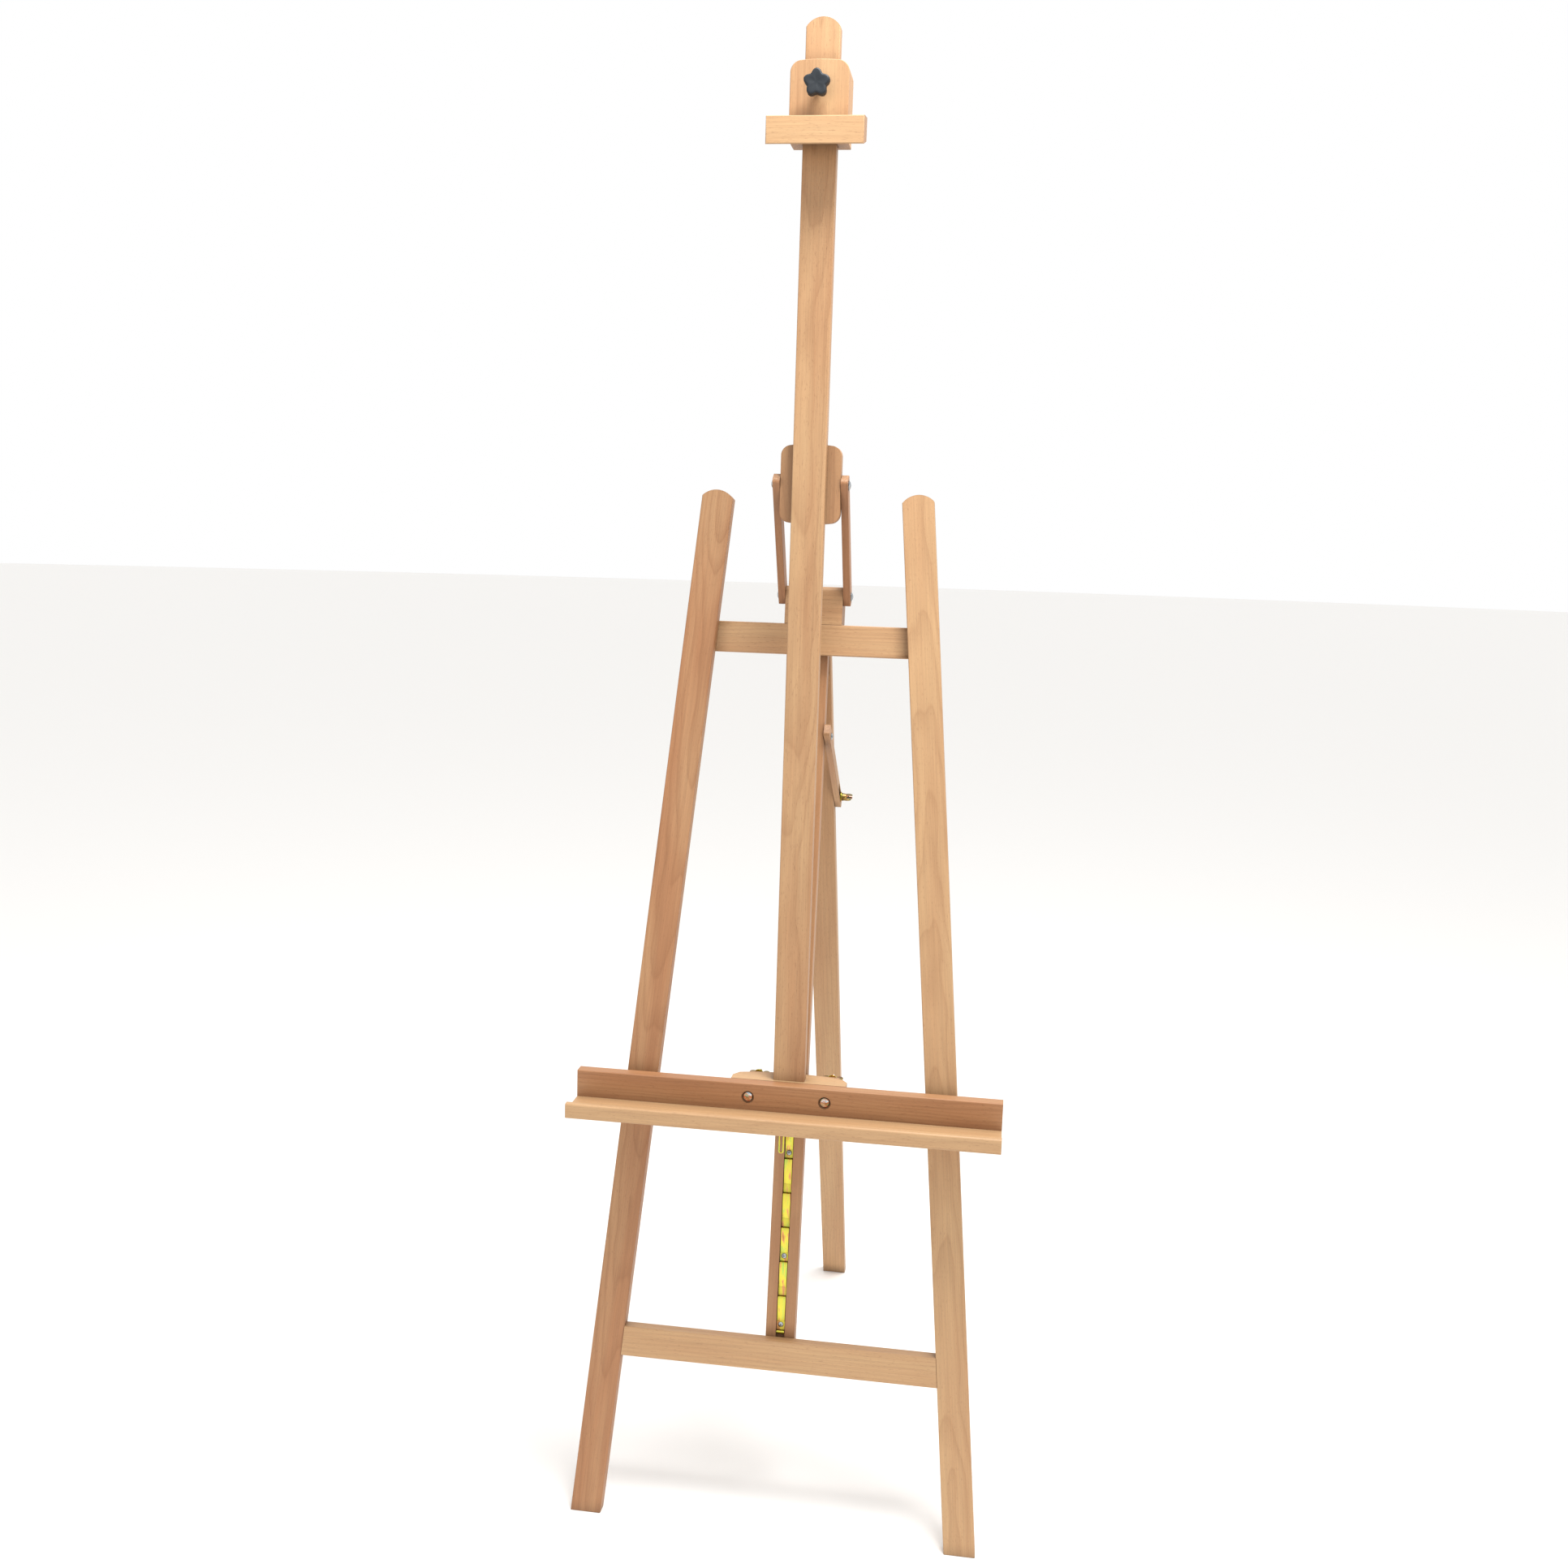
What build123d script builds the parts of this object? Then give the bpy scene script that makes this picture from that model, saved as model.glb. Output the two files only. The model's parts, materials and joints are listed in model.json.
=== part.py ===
from build123d import *
from math import asin, atan, atan2, cos, degrees, hypot, radians, sin
import os

# Axes: +X to the right as seen from the front, +Y to the back, +Z up, with the floor at z = 0.
# Shapes are drawn with y = 0 at the toes of the front legs. The saved parts are moved so that the
# origin is at the middle of the easel's footprint.

# H-shaped frame: two legs that lean back and draw together towards the top
frame_lean = 5.83
leg_width = 45
leg_thickness = 20
leg_foot_x = 277
leg_top_x = 143
leg_height = 1503
leg_dome = 10.5
edge_round = 1.5
crossbar_width = 44
lower_bar_height = 242
upper_bar_height = 1284.5
upper_bar_thickness = 18
upper_bar_end = 14.5
upper_screw_length = 31
upper_screw_spread = 11

# Grooved rail behind the two crossbars, and the ratchet strip in its groove
rail_width = 43
rail_thickness = 22
groove_width = 13
groove_depth = 5
strip_thickness = 1.5
tooth_pitch = 51
tooth_count = 12
first_tooth = 52.6
tooth_length = 38
tooth_rise = 3.3
rest_tooth = 6
strip_start = 46
strip_end_margin = 30
strip_screw_teeth = (0, 2, 5, 8, 10)
strip_screw_rise = 8

# Head block on top of the upper crossbar
block_width = 83
block_height = 54.4
block_front = 20.5
block_back = 58
block_round = 8

# Rear leg, its hinge and its slotted stay
rear_foot_reach = 842
rear_leg_thickness = 20
hinge_height = 1052
hinge_barrel = 4
hinge_leaf = 2
hinge_leaf_length = 44
hinge_leaf_width = 36
stay_thickness = 9
stay_width = 18
stay_pivot_height = 927
stay_nut_drop = 272
stay_overhang = 22
stay_slot_travel = 38
stay_slot_width = 11
stay_nut_turn = 100
stay_screw_radius = 2.5
stay_screw_depth = 16

# Tray carriage
tray_length = 610
tray_top = 672
board_height = 50
board_front = 30
board_thickness = 19
ledge_front = -33
ledge_floor = 11
lip_height = 22
lip_width = 9
cove_radius = 11
shelf_width = 166
shelf_back = 88
shelf_thickness = 12
cheek_width = 44
cheek_height = 67
running_gap = 0.4
rub_block_height = 28
clamp_thickness = 10
clamp_drop = 3
tray_bolt_x = 55
tray_bolt_height = 652
tray_bolt_recess = 2.5
tray_bolt_gap = 1.6
mast_screw_x = 11
mast_screw_length = 45

# Latch, drawn swung clear of the ratchet strip so that the tray can slide
pawl_pin_depth = -14
pawl_pin_rise = 2.5
pawl_clear_angle = 45
pawl_half_width = 5
pawl_ear_width = 9
loop_depth = -22
loop_width = 5.6
loop_wire = 1.2
loop_drop = 30

# Mast, paddle and arms
mast_front = 54
mast_width = 45
mast_thickness = 20
mast_length = 1422
mast_dome = 12.5
mast_groove_width = 10.6
mast_groove_depth = 8
mast_groove_below = 125
mast_groove_above = 320
paddle_width = 83
paddle_height = 108
paddle_thickness = 18
paddle_middle = 1513
arm_width = 22
arm_thickness = 10
arm_end = 12
arm_corner = 6
arm_foot_y = 170
arm_foot_z = 1360
fit_gap = 0.3
open_pivot_radius = 4.3
arm_bolt_inner = 22

# Top clamp
clamp_width = 77
clamp_height = 100
clamp_bottom = 1949
clamp_plate = 20
clamp_back_plate = 10
clamp_corner = 15
holder_width = 127
holder_depth = 32
knob_height = 2012
knob_reach = 31.7

# Hardware
bolt_radius = 3
bolt_head_radius = 7.4
bolt_head_rise = 3.5
washer_thickness = 1.5
pivot_head_radius = 6.5
hole_play = 0.05


def frame_point(depth, height):
    """Y and Z of a point in the frame's leaning plane"""
    lean = radians(frame_lean)
    return height * sin(lean) + depth * cos(lean), height * cos(lean) - depth * sin(lean)


upper_back = leg_thickness + upper_bar_thickness
rail_rise = atan(upper_bar_thickness / (upper_bar_height - lower_bar_height))
rail_lean = frame_lean + degrees(rail_rise)
rail_y, rail_z = frame_point(leg_thickness, lower_bar_height)
rail_length = (upper_bar_height + crossbar_width - lower_bar_height) / cos(rail_rise)
leg_tilt = degrees(atan((leg_foot_x - leg_top_x) / leg_height))


def rail_point(depth, height):
    """Y and Z of a point measured from the foot of the rail's front face"""
    lean = radians(rail_lean)
    return (rail_y + height * sin(lean) + depth * cos(lean), rail_z + height * cos(lean) - depth * sin(lean))


def on_frame(shape):
    return Rot(-frame_lean, 0, 0) * shape


def on_rail(shape):
    return Pos(0, rail_y, rail_z) * Rot(-rail_lean, 0, 0) * shape


def save(name, shape):
    export_step(Pos(0, -footprint_middle, 0) * shape, "parts/" + name + ".step")


def across(shape):
    """Turns a shape that stands on Z so that it lies along +X"""
    return Rot(0, 90, 0) * shape


def backwards(shape):
    """Turns a shape that stands on Z so that it lies along +Y"""
    return Rot(-90, 0, 0) * shape


def rod(radius, length):
    """A cylinder that starts at the origin and runs up Z"""
    return Pos(0, 0, length / 2) * Cylinder(radius, length)


def plank(width, thickness, length):
    """A board with eased long edges, front face on y = 0, running up Z"""
    section = Pos(0, thickness / 2) * RectangleRounded(width, thickness, edge_round)
    return extrude(section, length)


def domed_plank(width, thickness, length, dome):
    """A plank whose top is a low arch above its shoulders"""
    half = width / 2
    sides = Polyline((half, length), (half, 0), (-half, 0), (-half, length))
    arch = ThreePointArc((-half, length), (0, length + dome), (half, length))
    outline = make_face(sides + arch)
    shape = extrude(Plane.XZ * outline, -thickness)
    return shape & plank(width, thickness, length + dome)


def side_prism(points, x_start, x_end):
    """A block with the given (y, z) outline between two places along X"""
    outline = Plane.YZ * Polygon(*points, align=None)
    return Pos(x_start, 0, 0) * extrude(outline, x_end - x_start, dir=(1, 0, 0))


def dome_head(radius, rise):
    """The low domed head of a carriage bolt, flat side on z = 0"""
    ball = (radius * radius + rise * rise) / (2 * rise)
    return Pos(0, 0, rise - ball) * Sphere(ball) & Pos(0, 0, rise / 2) * Box(3 * radius, 3 * radius, rise)


def domed_bolt(head_radius, rise, length):
    """A bolt that hangs down Z from a domed head above z = 0"""
    return dome_head(head_radius, rise) + Pos(0, 0, -length) * rod(bolt_radius, length)


def wood_screw(length, play=0):
    """A countersunk screw with its flat head at z = 0, pointing down Z"""
    head = Pos(0, 0, -1.2 - play / 2) * Cone(2 + play, 4.2 + play, 2.4 + play)
    shank = Pos(0, 0, -length - play) * rod(2 + play, length + play - 1)
    return head + shank


def wing_nut():
    """A wing nut that stands on z = 0, with its wings along X"""
    body = rod(6.2, 5) + Pos(0, 0, 5) * rod(5, 3.5)
    wings = Part()
    for side in (-1, 1):
        outline = Plane.XZ * Pos(side * 10, 9) * Ellipse(5.5, 7)
        wings += extrude(outline, 1.2, both=True)
    return body + wings - Pos(0, 0, -2) * rod(bolt_radius + hole_play, 20)


def washer():
    return rod(8, washer_thickness) - rod(bolt_radius + hole_play, washer_thickness)


def star_knob():
    """A five-lobed knob with a short neck, neck end on z = 0, one lobe up +Y"""
    outline = Circle(12.2) + PolarLocations(12.2, 5, start_angle=90) * Circle(5.2)
    outline = fillet(outline.vertices(), 4)
    head = Pos(0, 0, 8) * extrude(outline, 13)
    head = fillet(head.faces().sort_by(Axis.Z)[-1].edges(), 2.5)
    return head + rod(8, 8)


# ---- frame ----

def leg_centre(height):
    return leg_foot_x + (leg_top_x - leg_foot_x) * height / leg_height


def upper_screw_places():
    """(x, height) of the four screws that hold the upper crossbar to the legs"""
    middle = upper_bar_height + crossbar_width / 2
    spread = upper_screw_spread
    return [(side * (leg_centre(middle) - rise / spread), middle + rise)
            for side in (-1, 1) for rise in (-spread, spread)]


def upper_screws(play=0):
    group = Part()
    for x, height in upper_screw_places():
        group += Pos(x, upper_back, height) * backwards(wood_screw(upper_screw_length, play))
    return group


def leg(side):
    tilt = radians(leg_tilt)
    below = 30
    long = leg_height / cos(tilt) + below
    blank = Pos(0, 0, -below) * domed_plank(leg_width, leg_thickness, long, leg_dome)
    shape = Pos(side * leg_foot_x, 0, 0) * Rot(0, -side * leg_tilt, 0) * blank
    shape = on_frame(shape - upper_screws(hole_play))
    return split(shape, Plane.XY, keep=Keep.TOP)


def crossbar(height, front, thickness, end):
    """A crossbar whose slanting ends stand a set distance outside the legs' centre lines"""
    top = height + crossbar_width
    low_half = leg_centre(height) + end
    top_half = leg_centre(top) + end
    corners = [(-low_half, height), (low_half, height), (top_half, top), (-top_half, top)]
    ends = extrude(Plane.XZ * Polygon(*corners, align=None), -60)
    section = Plane.YZ * Pos(thickness / 2, height + crossbar_width / 2)
    section = section * RectangleRounded(thickness, crossbar_width, edge_round)
    bar = extrude(section, leg_foot_x + leg_width, both=True)
    return Pos(0, front, 0) * (bar & ends)


def lower_crossbar():
    reach = -leg_width / 2 / cos(radians(leg_tilt))
    return on_frame(crossbar(lower_bar_height, 0, leg_thickness, reach))


def upper_crossbar():
    bar = crossbar(upper_bar_height, leg_thickness, upper_bar_thickness, upper_bar_end)
    return on_frame(bar - upper_screws(hole_play))


# ---- rail and ratchet ----

def strip_screws():
    group = Part()
    for tooth in strip_screw_teeth:
        screw = dome_head(3.8, 1.6) + Pos(0, 0, -12) * rod(1.5, 12)
        place = Pos(0, groove_depth - strip_thickness, first_tooth + tooth * tooth_pitch + strip_screw_rise)
        group += place * Rot(90, 0, 0) * screw
    return group


def ratchet_strip():
    """Steel strip with a ramp below every stop, in the rail's own axes"""
    top = first_tooth + (tooth_count - 1) * tooth_pitch + strip_end_margin
    face = groove_depth - strip_thickness
    strip = Pos(0, groove_depth - strip_thickness / 2, (strip_start + top) / 2)
    strip = strip * Box(groove_width - 1, strip_thickness, top - strip_start)
    for tooth in range(tooth_count):
        stop = first_tooth + tooth * tooth_pitch
        start = max(stop - tooth_length, strip_start)
        ramp = [(face, start), (face - tooth_rise, stop - 2), (face - tooth_rise, stop), (face, stop)]
        strip += side_prism(ramp, -5.5, 5.5)
    for tooth in strip_screw_teeth:
        place = Pos(0, 0, first_tooth + tooth * tooth_pitch + strip_screw_rise)
        strip -= place * backwards(rod(1.5 + hole_play, 12))
    return strip


def rail():
    groove_start = 40
    shape = plank(rail_width, rail_thickness, rail_length)
    groove = Box(groove_width, groove_depth, rail_length - groove_start)
    shape -= Pos(0, groove_depth / 2, (rail_length + groove_start) / 2) * groove
    for tooth in strip_screw_teeth:
        place = Pos(0, 0, first_tooth + tooth * tooth_pitch + strip_screw_rise)
        shape -= place * backwards(rod(1.5 + hole_play, groove_depth + 11))
    pivot = Pos(rail_width / 2 - stay_screw_depth, rail_thickness / 2, stay_pivot_height)
    shape -= pivot * across(rod(stay_screw_radius + hole_play, 2 * stay_screw_depth))
    return on_rail(shape)


# ---- head block and arm pivots ----

def arm_bolt(side, y, z, inner):
    """A pivot bolt through an arm, screwed into the piece between the arms"""
    face = paddle_width / 2 + fit_gap + arm_thickness + fit_gap
    bolt = domed_bolt(pivot_head_radius, 3, face - inner)
    return Pos(side * face, y, z) * Rot(0, side * 90, 0) * bolt


def pivot_bore(side, y, z, radius, x_start, x_end):
    return Pos(side * x_start, y, z) * Rot(0, side * 90, 0) * rod(radius, x_end - x_start)


def head_block():
    bottom = upper_bar_height + crossbar_width + 0.1
    align = (Align.CENTER, Align.MIN, Align.MIN)
    blank = Box(block_width, block_back - block_front, block_height, align=align)
    top_edges = blank.edges().filter_by(Axis.X).group_by(Axis.Z)[-1]
    blank = fillet(top_edges, block_round)
    shape = on_frame(Pos(0, block_front, bottom) * blank)
    for side in (-1, 1):
        shape -= pivot_bore(side, arm_foot_y, arm_foot_z, bolt_radius + hole_play, 20, 60)
    return shape


# ---- rear leg, hinge and stay ----

hinge_y, hinge_z = rail_point(rail_thickness + hinge_barrel, hinge_height)
hinge_to_foot = hypot(rear_foot_reach - hinge_y, hinge_z)
rear_lean = degrees(atan2(rear_foot_reach - hinge_y, hinge_z) - asin(hinge_barrel / hinge_to_foot))
footprint_back = rear_foot_reach + rear_leg_thickness / cos(radians(rear_lean))
footprint_middle = (ledge_front + footprint_back) / 2


def from_hinge(shape):
    """Places a shape drawn with the hinge pin at the origin and the rear leg hanging down -Z"""
    return Pos(0, hinge_y, hinge_z) * Rot(rear_lean, 0, 0) * shape


def rear_leg_point(depth, drop):
    """Y and Z of a point behind the leg's front face, measured down from the hinge pin"""
    lean = radians(rear_lean)
    depth += hinge_barrel
    return (hinge_y + drop * sin(lean) + depth * cos(lean), hinge_z - drop * cos(lean) + depth * sin(lean))


stay_pivot = rail_point(rail_thickness / 2, stay_pivot_height)
stay_nut = rear_leg_point(rear_leg_thickness / 2, stay_nut_drop)
stay_inner = rail_width / 2 + 0.5
stay_outer = stay_inner + stay_thickness


def rear_leg():
    long = hinge_to_foot + 60
    shape = Pos(0, hinge_barrel, -long) * plank(rail_width, rear_leg_thickness, long)
    shape = split(from_hinge(shape), Plane.XY, keep=Keep.TOP)
    bore = Pos(-rail_width, *stay_nut) * across(rod(bolt_radius + hole_play, 2 * rail_width))
    return shape - bore


def knuckle(start, end):
    barrel = Pos(start, 0, 0) * across(rod(hinge_barrel - 0.2, end - start))
    return barrel - Pos(start, 0, 0) * across(rod(1.5 + hole_play, end - start))


def hinge_fixed_leaf():
    """Leaf on the rail's back with the two outer knuckles"""
    half = hinge_leaf_width / 2
    third = hinge_leaf_width / 6
    leaf = Pos(0, -hinge_barrel + hinge_leaf / 2, -hinge_leaf_length / 2)
    leaf = leaf * Box(hinge_leaf_width, hinge_leaf, hinge_leaf_length)
    slot = Box(2 * third + 1, 2 * hinge_barrel, 2 * hinge_barrel + 2)
    leaf = leaf - slot - Pos(-half, 0, 0) * across(rod(1.5 + hole_play, 2 * half))
    leaf += knuckle(-half, -third - 0.5) + knuckle(third + 0.5, half)
    return Pos(0, hinge_y, hinge_z) * Rot(-rail_lean, 0, 0) * leaf


def hinge_moving_leaf():
    """Leaf on the rear leg's front with the middle knuckle, which turns about the pin"""
    half = hinge_leaf_width / 2
    third = hinge_leaf_width / 6
    leaf = Pos(0, hinge_barrel - hinge_leaf / 2, -hinge_leaf_length / 2)
    leaf = leaf * Box(hinge_leaf_width, hinge_leaf, hinge_leaf_length)
    for side in (-1, 1):
        cut = Box(half - third + 1, 2 * hinge_barrel + 0.1, 2 * hinge_barrel + 2)
        leaf -= Pos(side * (half + third) / 2, 0, 0) * cut
    leaf -= Pos(-half, 0, 0) * across(rod(1.5 + hole_play, 2 * half))
    leaf += knuckle(-third + 0.5, third - 0.5)
    return from_hinge(leaf)


def hinge_pin():
    half = hinge_leaf_width / 2
    return Pos(-half - 1, hinge_y, hinge_z) * across(rod(1.5, 2 * half + 2))


def stay_axes(shape):
    """Places a shape drawn from the stay's pivot along -Z towards the nut"""
    run = degrees(atan2(stay_nut[0] - stay_pivot[0], stay_pivot[1] - stay_nut[1]))
    return Pos(0, *stay_pivot) * Rot(run, 0, 0) * shape


stay_span = hypot(stay_nut[0] - stay_pivot[0], stay_nut[1] - stay_pivot[1])


def stay():
    long = stay_span + 2 * stay_overhang
    body = Plane.YZ * Pos(0, -stay_span / 2) * RectangleRounded(stay_width, long, 4)
    slot_length = stay_slot_travel + stay_slot_width
    slot_middle = stay_span - stay_slot_travel / 2 + 3
    slot = Plane.YZ * Pos(0, -slot_middle) * Rot(0, 0, 90) * SlotOverall(slot_length, stay_slot_width)
    shape = extrude(body, stay_thickness) - extrude(slot, stay_thickness)
    shape -= across(rod(stay_screw_radius + 2 * hole_play, stay_thickness))
    return stay_axes(Pos(stay_inner, 0, 0) * shape)


def stay_screw():
    head = stay_outer + fit_gap
    inner = rail_width / 2 - stay_screw_depth
    shape = dome_head(5, 2.5) + Pos(0, 0, inner - head) * rod(stay_screw_radius, head - inner)
    return Pos(head, *stay_pivot) * across(shape)


def stay_bolt():
    shape = Rot(180, 0, 0) * domed_bolt(bolt_head_radius, bolt_head_rise, rail_width + 28)
    return Pos(-rail_width / 2, *stay_nut) * across(shape)


def stay_washer():
    return Pos(stay_outer + fit_gap, *stay_nut) * across(washer())


def stay_wing_nut():
    place = Pos(stay_outer + fit_gap + washer_thickness + hole_play, *stay_nut)
    return place * across(Rot(0, 0, stay_nut_turn) * wing_nut())


# ---- tray carriage ----

def rail_face_y(z, depth):
    """Y of a face parallel to the rail's front, at a given height"""
    lean = radians(rail_lean)
    y, foot = rail_point(depth, 0)
    return y + (z - foot) * sin(lean) / cos(lean)


board_back = board_front + board_thickness
carriage_top = tray_top - shelf_thickness
carriage_foot = carriage_top - cheek_height
cheek_inner = rail_width / 2 + running_gap
clamp_back = rail_face_y(carriage_top, rail_thickness + running_gap) + clamp_thickness
rest_stop = first_tooth + rest_tooth * tooth_pitch
pawl_pin_height = rest_stop + pawl_pin_rise
pawl_pin_y, pawl_pin_z = rail_point(pawl_pin_depth, pawl_pin_height)


def tray_bolt_bores():
    group = Part()
    for side in (-1, 1):
        place = Pos(side * tray_bolt_x, 0, tray_bolt_height)
        group += place * backwards(rod(bolt_radius + hole_play, 200))
    return group


def tray_board():
    section = Plane.YZ * Pos(board_front + board_thickness / 2, tray_top - board_height / 2)
    section = section * RectangleRounded(board_thickness, board_height, edge_round)
    shape = extrude(section, tray_length / 2, both=True) - tray_bolt_bores()
    for side in (-1, 1):
        seat = Pos(side * tray_bolt_x, board_front, tray_bolt_height)
        shape -= seat * backwards(rod(bolt_head_radius + tray_bolt_gap, tray_bolt_recess))
    return shape


def tray_ledge():
    """Ledge with a cove behind its raised lip"""
    bottom = tray_top - board_height
    floor = bottom + ledge_floor
    lip = bottom + lip_height
    cove_start = ledge_front + lip_width
    cove_end = cove_start + cove_radius
    middle = cove_radius * (1 - sin(radians(45)))
    outline = Polyline((cove_end, floor), (board_front, floor), (board_front, bottom), (ledge_front, bottom),
                       (ledge_front, lip), (cove_start, lip))
    cove = ThreePointArc((cove_start, lip), (cove_start + middle, floor + middle), (cove_end, floor))
    face = make_face(outline + cove)
    front = face.vertices().group_by(Axis.X)[0]
    face = fillet(front, 3)
    return extrude(Plane.YZ * face, tray_length / 2, both=True)


def mast_shelf():
    """Shelf behind the board, with an arched back and cut corners, that carries the mast"""
    half = shelf_width / 2
    side_back = shelf_back - 11
    outline = Polyline((-half + 8, side_back), (-half, side_back - 12), (-half, board_back),
                       (half, board_back), (half, side_back - 12), (half - 8, side_back))
    arch = ThreePointArc((half - 8, side_back), (0, shelf_back), (-half + 8, side_back))
    shape = Pos(0, 0, carriage_top) * extrude(make_face(outline + arch), shelf_thickness)
    return shape - mast_screws(hole_play)


def mast_screws(play=0):
    """Two screws up through the shelf into the mast's foot"""
    group = Part()
    for x in (-mast_screw_x, mast_screw_x):
        place = Pos(x, mast_front + mast_thickness / 2, carriage_top)
        group += place * Rot(180, 0, 0) * wood_screw(mast_screw_length, play)
    return group


def cheek(side):
    """Block beside the rail that keeps the carriage straight"""
    outline = [(board_back, carriage_foot), (board_back, carriage_top)]
    for z in (carriage_top, carriage_foot):
        outline.append((rail_face_y(z, rail_thickness + running_gap), z))
    inner = cheek_inner if side > 0 else -cheek_inner - cheek_width
    shape = side_prism(outline, inner, inner + cheek_width) - tray_bolt_bores()
    return shape - Pos(-30, pawl_pin_y, pawl_pin_z) * across(rod(2 + hole_play, 60))


def rub_block():
    """Block between the cheeks that bears on the rail's front"""
    foot = carriage_top - rub_block_height
    outline = [(board_back, foot), (board_back, carriage_top)]
    for z in (carriage_top, foot):
        outline.append((rail_face_y(z, -running_gap), z))
    return side_prism(outline, -cheek_inner, cheek_inner)


def rear_clamp():
    """Plate behind the rail, level with the cheeks"""
    top = carriage_top - clamp_drop
    outline = [(clamp_back, carriage_foot), (clamp_back, top)]
    for z in (top, carriage_foot):
        outline.append((rail_face_y(z, rail_thickness + running_gap), z))
    half = cheek_inner + cheek_width
    return side_prism(outline, -half, half) - tray_bolt_bores()


def tray_bolt(side):
    seat = board_front + tray_bolt_recess
    bolt = domed_bolt(bolt_head_radius, bolt_head_rise, clamp_back - seat + 18)
    return Pos(side * tray_bolt_x, seat, tray_bolt_height) * Rot(90, 0, 0) * bolt


def tray_washer(side):
    return Pos(side * tray_bolt_x, clamp_back, tray_bolt_height) * backwards(washer())


def tray_wing_nut(side):
    place = Pos(side * tray_bolt_x, clamp_back + washer_thickness + hole_play, tray_bolt_height)
    return place * backwards(wing_nut())


def pawl_pin():
    half = cheek_inner + 6
    return Pos(-half, pawl_pin_y, pawl_pin_z) * across(rod(2, 2 * half))


def pawl():
    """Hooked latch and the ear that its pull hangs from, swung clear of the strip"""
    tip = groove_depth - strip_thickness - 0.6
    pin = Pos(0, pawl_pin_depth, pawl_pin_height)
    low = rest_stop + 0.4
    hook = [(-18, rest_stop - 1.5), (-2, rest_stop - 1.5), (-1, low), (tip, low), (tip, rest_stop + 3.8),
            (-12, rest_stop + 7), (-18, rest_stop + 5)]
    tongue = side_prism(hook, -pawl_half_width, pawl_half_width)
    tongue = pin * Rot(pawl_clear_angle, 0, 0) * pin.inverse() * tongue
    front = loop_depth - 4
    back = pawl_pin_depth + 4
    ear = [(front, rest_stop - 8), (back, rest_stop - 8), (back, rest_stop + 7), (front, rest_stop - 2)]
    shape = tongue + side_prism(ear, -pawl_half_width - pawl_ear_width, -pawl_half_width)
    shape -= pin * Pos(-20, 0, 0) * across(rod(2 + hole_play, 40))
    return on_rail(shape)


def release_loop():
    """Bent wire that hangs from the latch's ear, to pull it clear"""
    right = -pawl_half_width - 1
    left = right - loop_width
    top = rest_stop - 8
    low = top - loop_drop + loop_width / 2 + loop_wire
    path = Line((right, 0, top), (right, 0, low)) + Line((left, 0, top), (left, 0, low))
    path += ThreePointArc((right, 0, low), ((left + right) / 2, 0, low - loop_width / 2), (left, 0, low))
    section = Plane(origin=(right, 0, top), z_dir=(0, 0, -1)) * Circle(loop_wire)
    return on_rail(Pos(0, loop_depth, 0) * sweep(section, path=path))


# ---- mast, paddle and arms ----

mast_back = mast_front + mast_thickness
paddle_front = mast_back + running_gap
paddle_axis = paddle_front + paddle_thickness / 2


def mast():
    shape = Pos(0, mast_front, tray_top) * domed_plank(mast_width, mast_thickness, mast_length, mast_dome)
    groove_low = paddle_middle - mast_groove_below
    groove_high = paddle_middle + mast_groove_above
    groove = Box(mast_groove_width, mast_groove_depth, groove_high - groove_low)
    shape -= Pos(0, mast_back - mast_groove_depth / 2, (groove_low + groove_high) / 2) * groove
    return shape - mast_screws(hole_play)


def arched_face(width, height, corner, rise, both_ends):
    """A panel with rounded corners and a gentle arch at its top, or at both ends"""
    half = width / 2
    top = height / 2
    foot = -top + rise if both_ends else -top
    sides = Line((-half, foot), (-half, top - rise)) + Line((half, top - rise), (half, foot))
    arch = ThreePointArc((-half, top - rise), (0, top), (half, top - rise))
    end = Line((half, foot), (-half, foot))
    if both_ends:
        end = ThreePointArc((half, foot), (0, -top), (-half, foot))
    face = make_face(sides + arch + end)
    corners = face.vertices() if both_ends else face.vertices().group_by(Axis.Y)[-1]
    return fillet(corners, corner)


def paddle():
    face = arched_face(paddle_width, paddle_height, 14, 4, True)
    shape = Pos(0, paddle_front, paddle_middle) * extrude(Plane.XZ * face, -paddle_thickness)
    for side in (-1, 1):
        shape -= pivot_bore(side, paddle_axis, paddle_middle, bolt_radius + hole_play, 20, 60)
    return shape - Pos(0, 0, paddle_middle) * backwards(rod(bolt_radius + 2 * hole_play, 200))


def paddle_runner():
    """Key in the mast's back groove that keeps the paddle straight"""
    depth = mast_groove_depth - 0.6 + running_gap
    middle = Pos(0, paddle_front - depth / 2, paddle_middle)
    return middle * Box(mast_groove_width - 2 * fit_gap, depth, paddle_height - 12)


def paddle_knob():
    place = Pos(0, paddle_front + paddle_thickness + 2, paddle_middle)
    return place * backwards(star_knob())


def paddle_screw():
    start = paddle_front + 0.2
    return Pos(0, start, paddle_middle) * backwards(rod(bolt_radius, paddle_thickness + 1.8))


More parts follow.
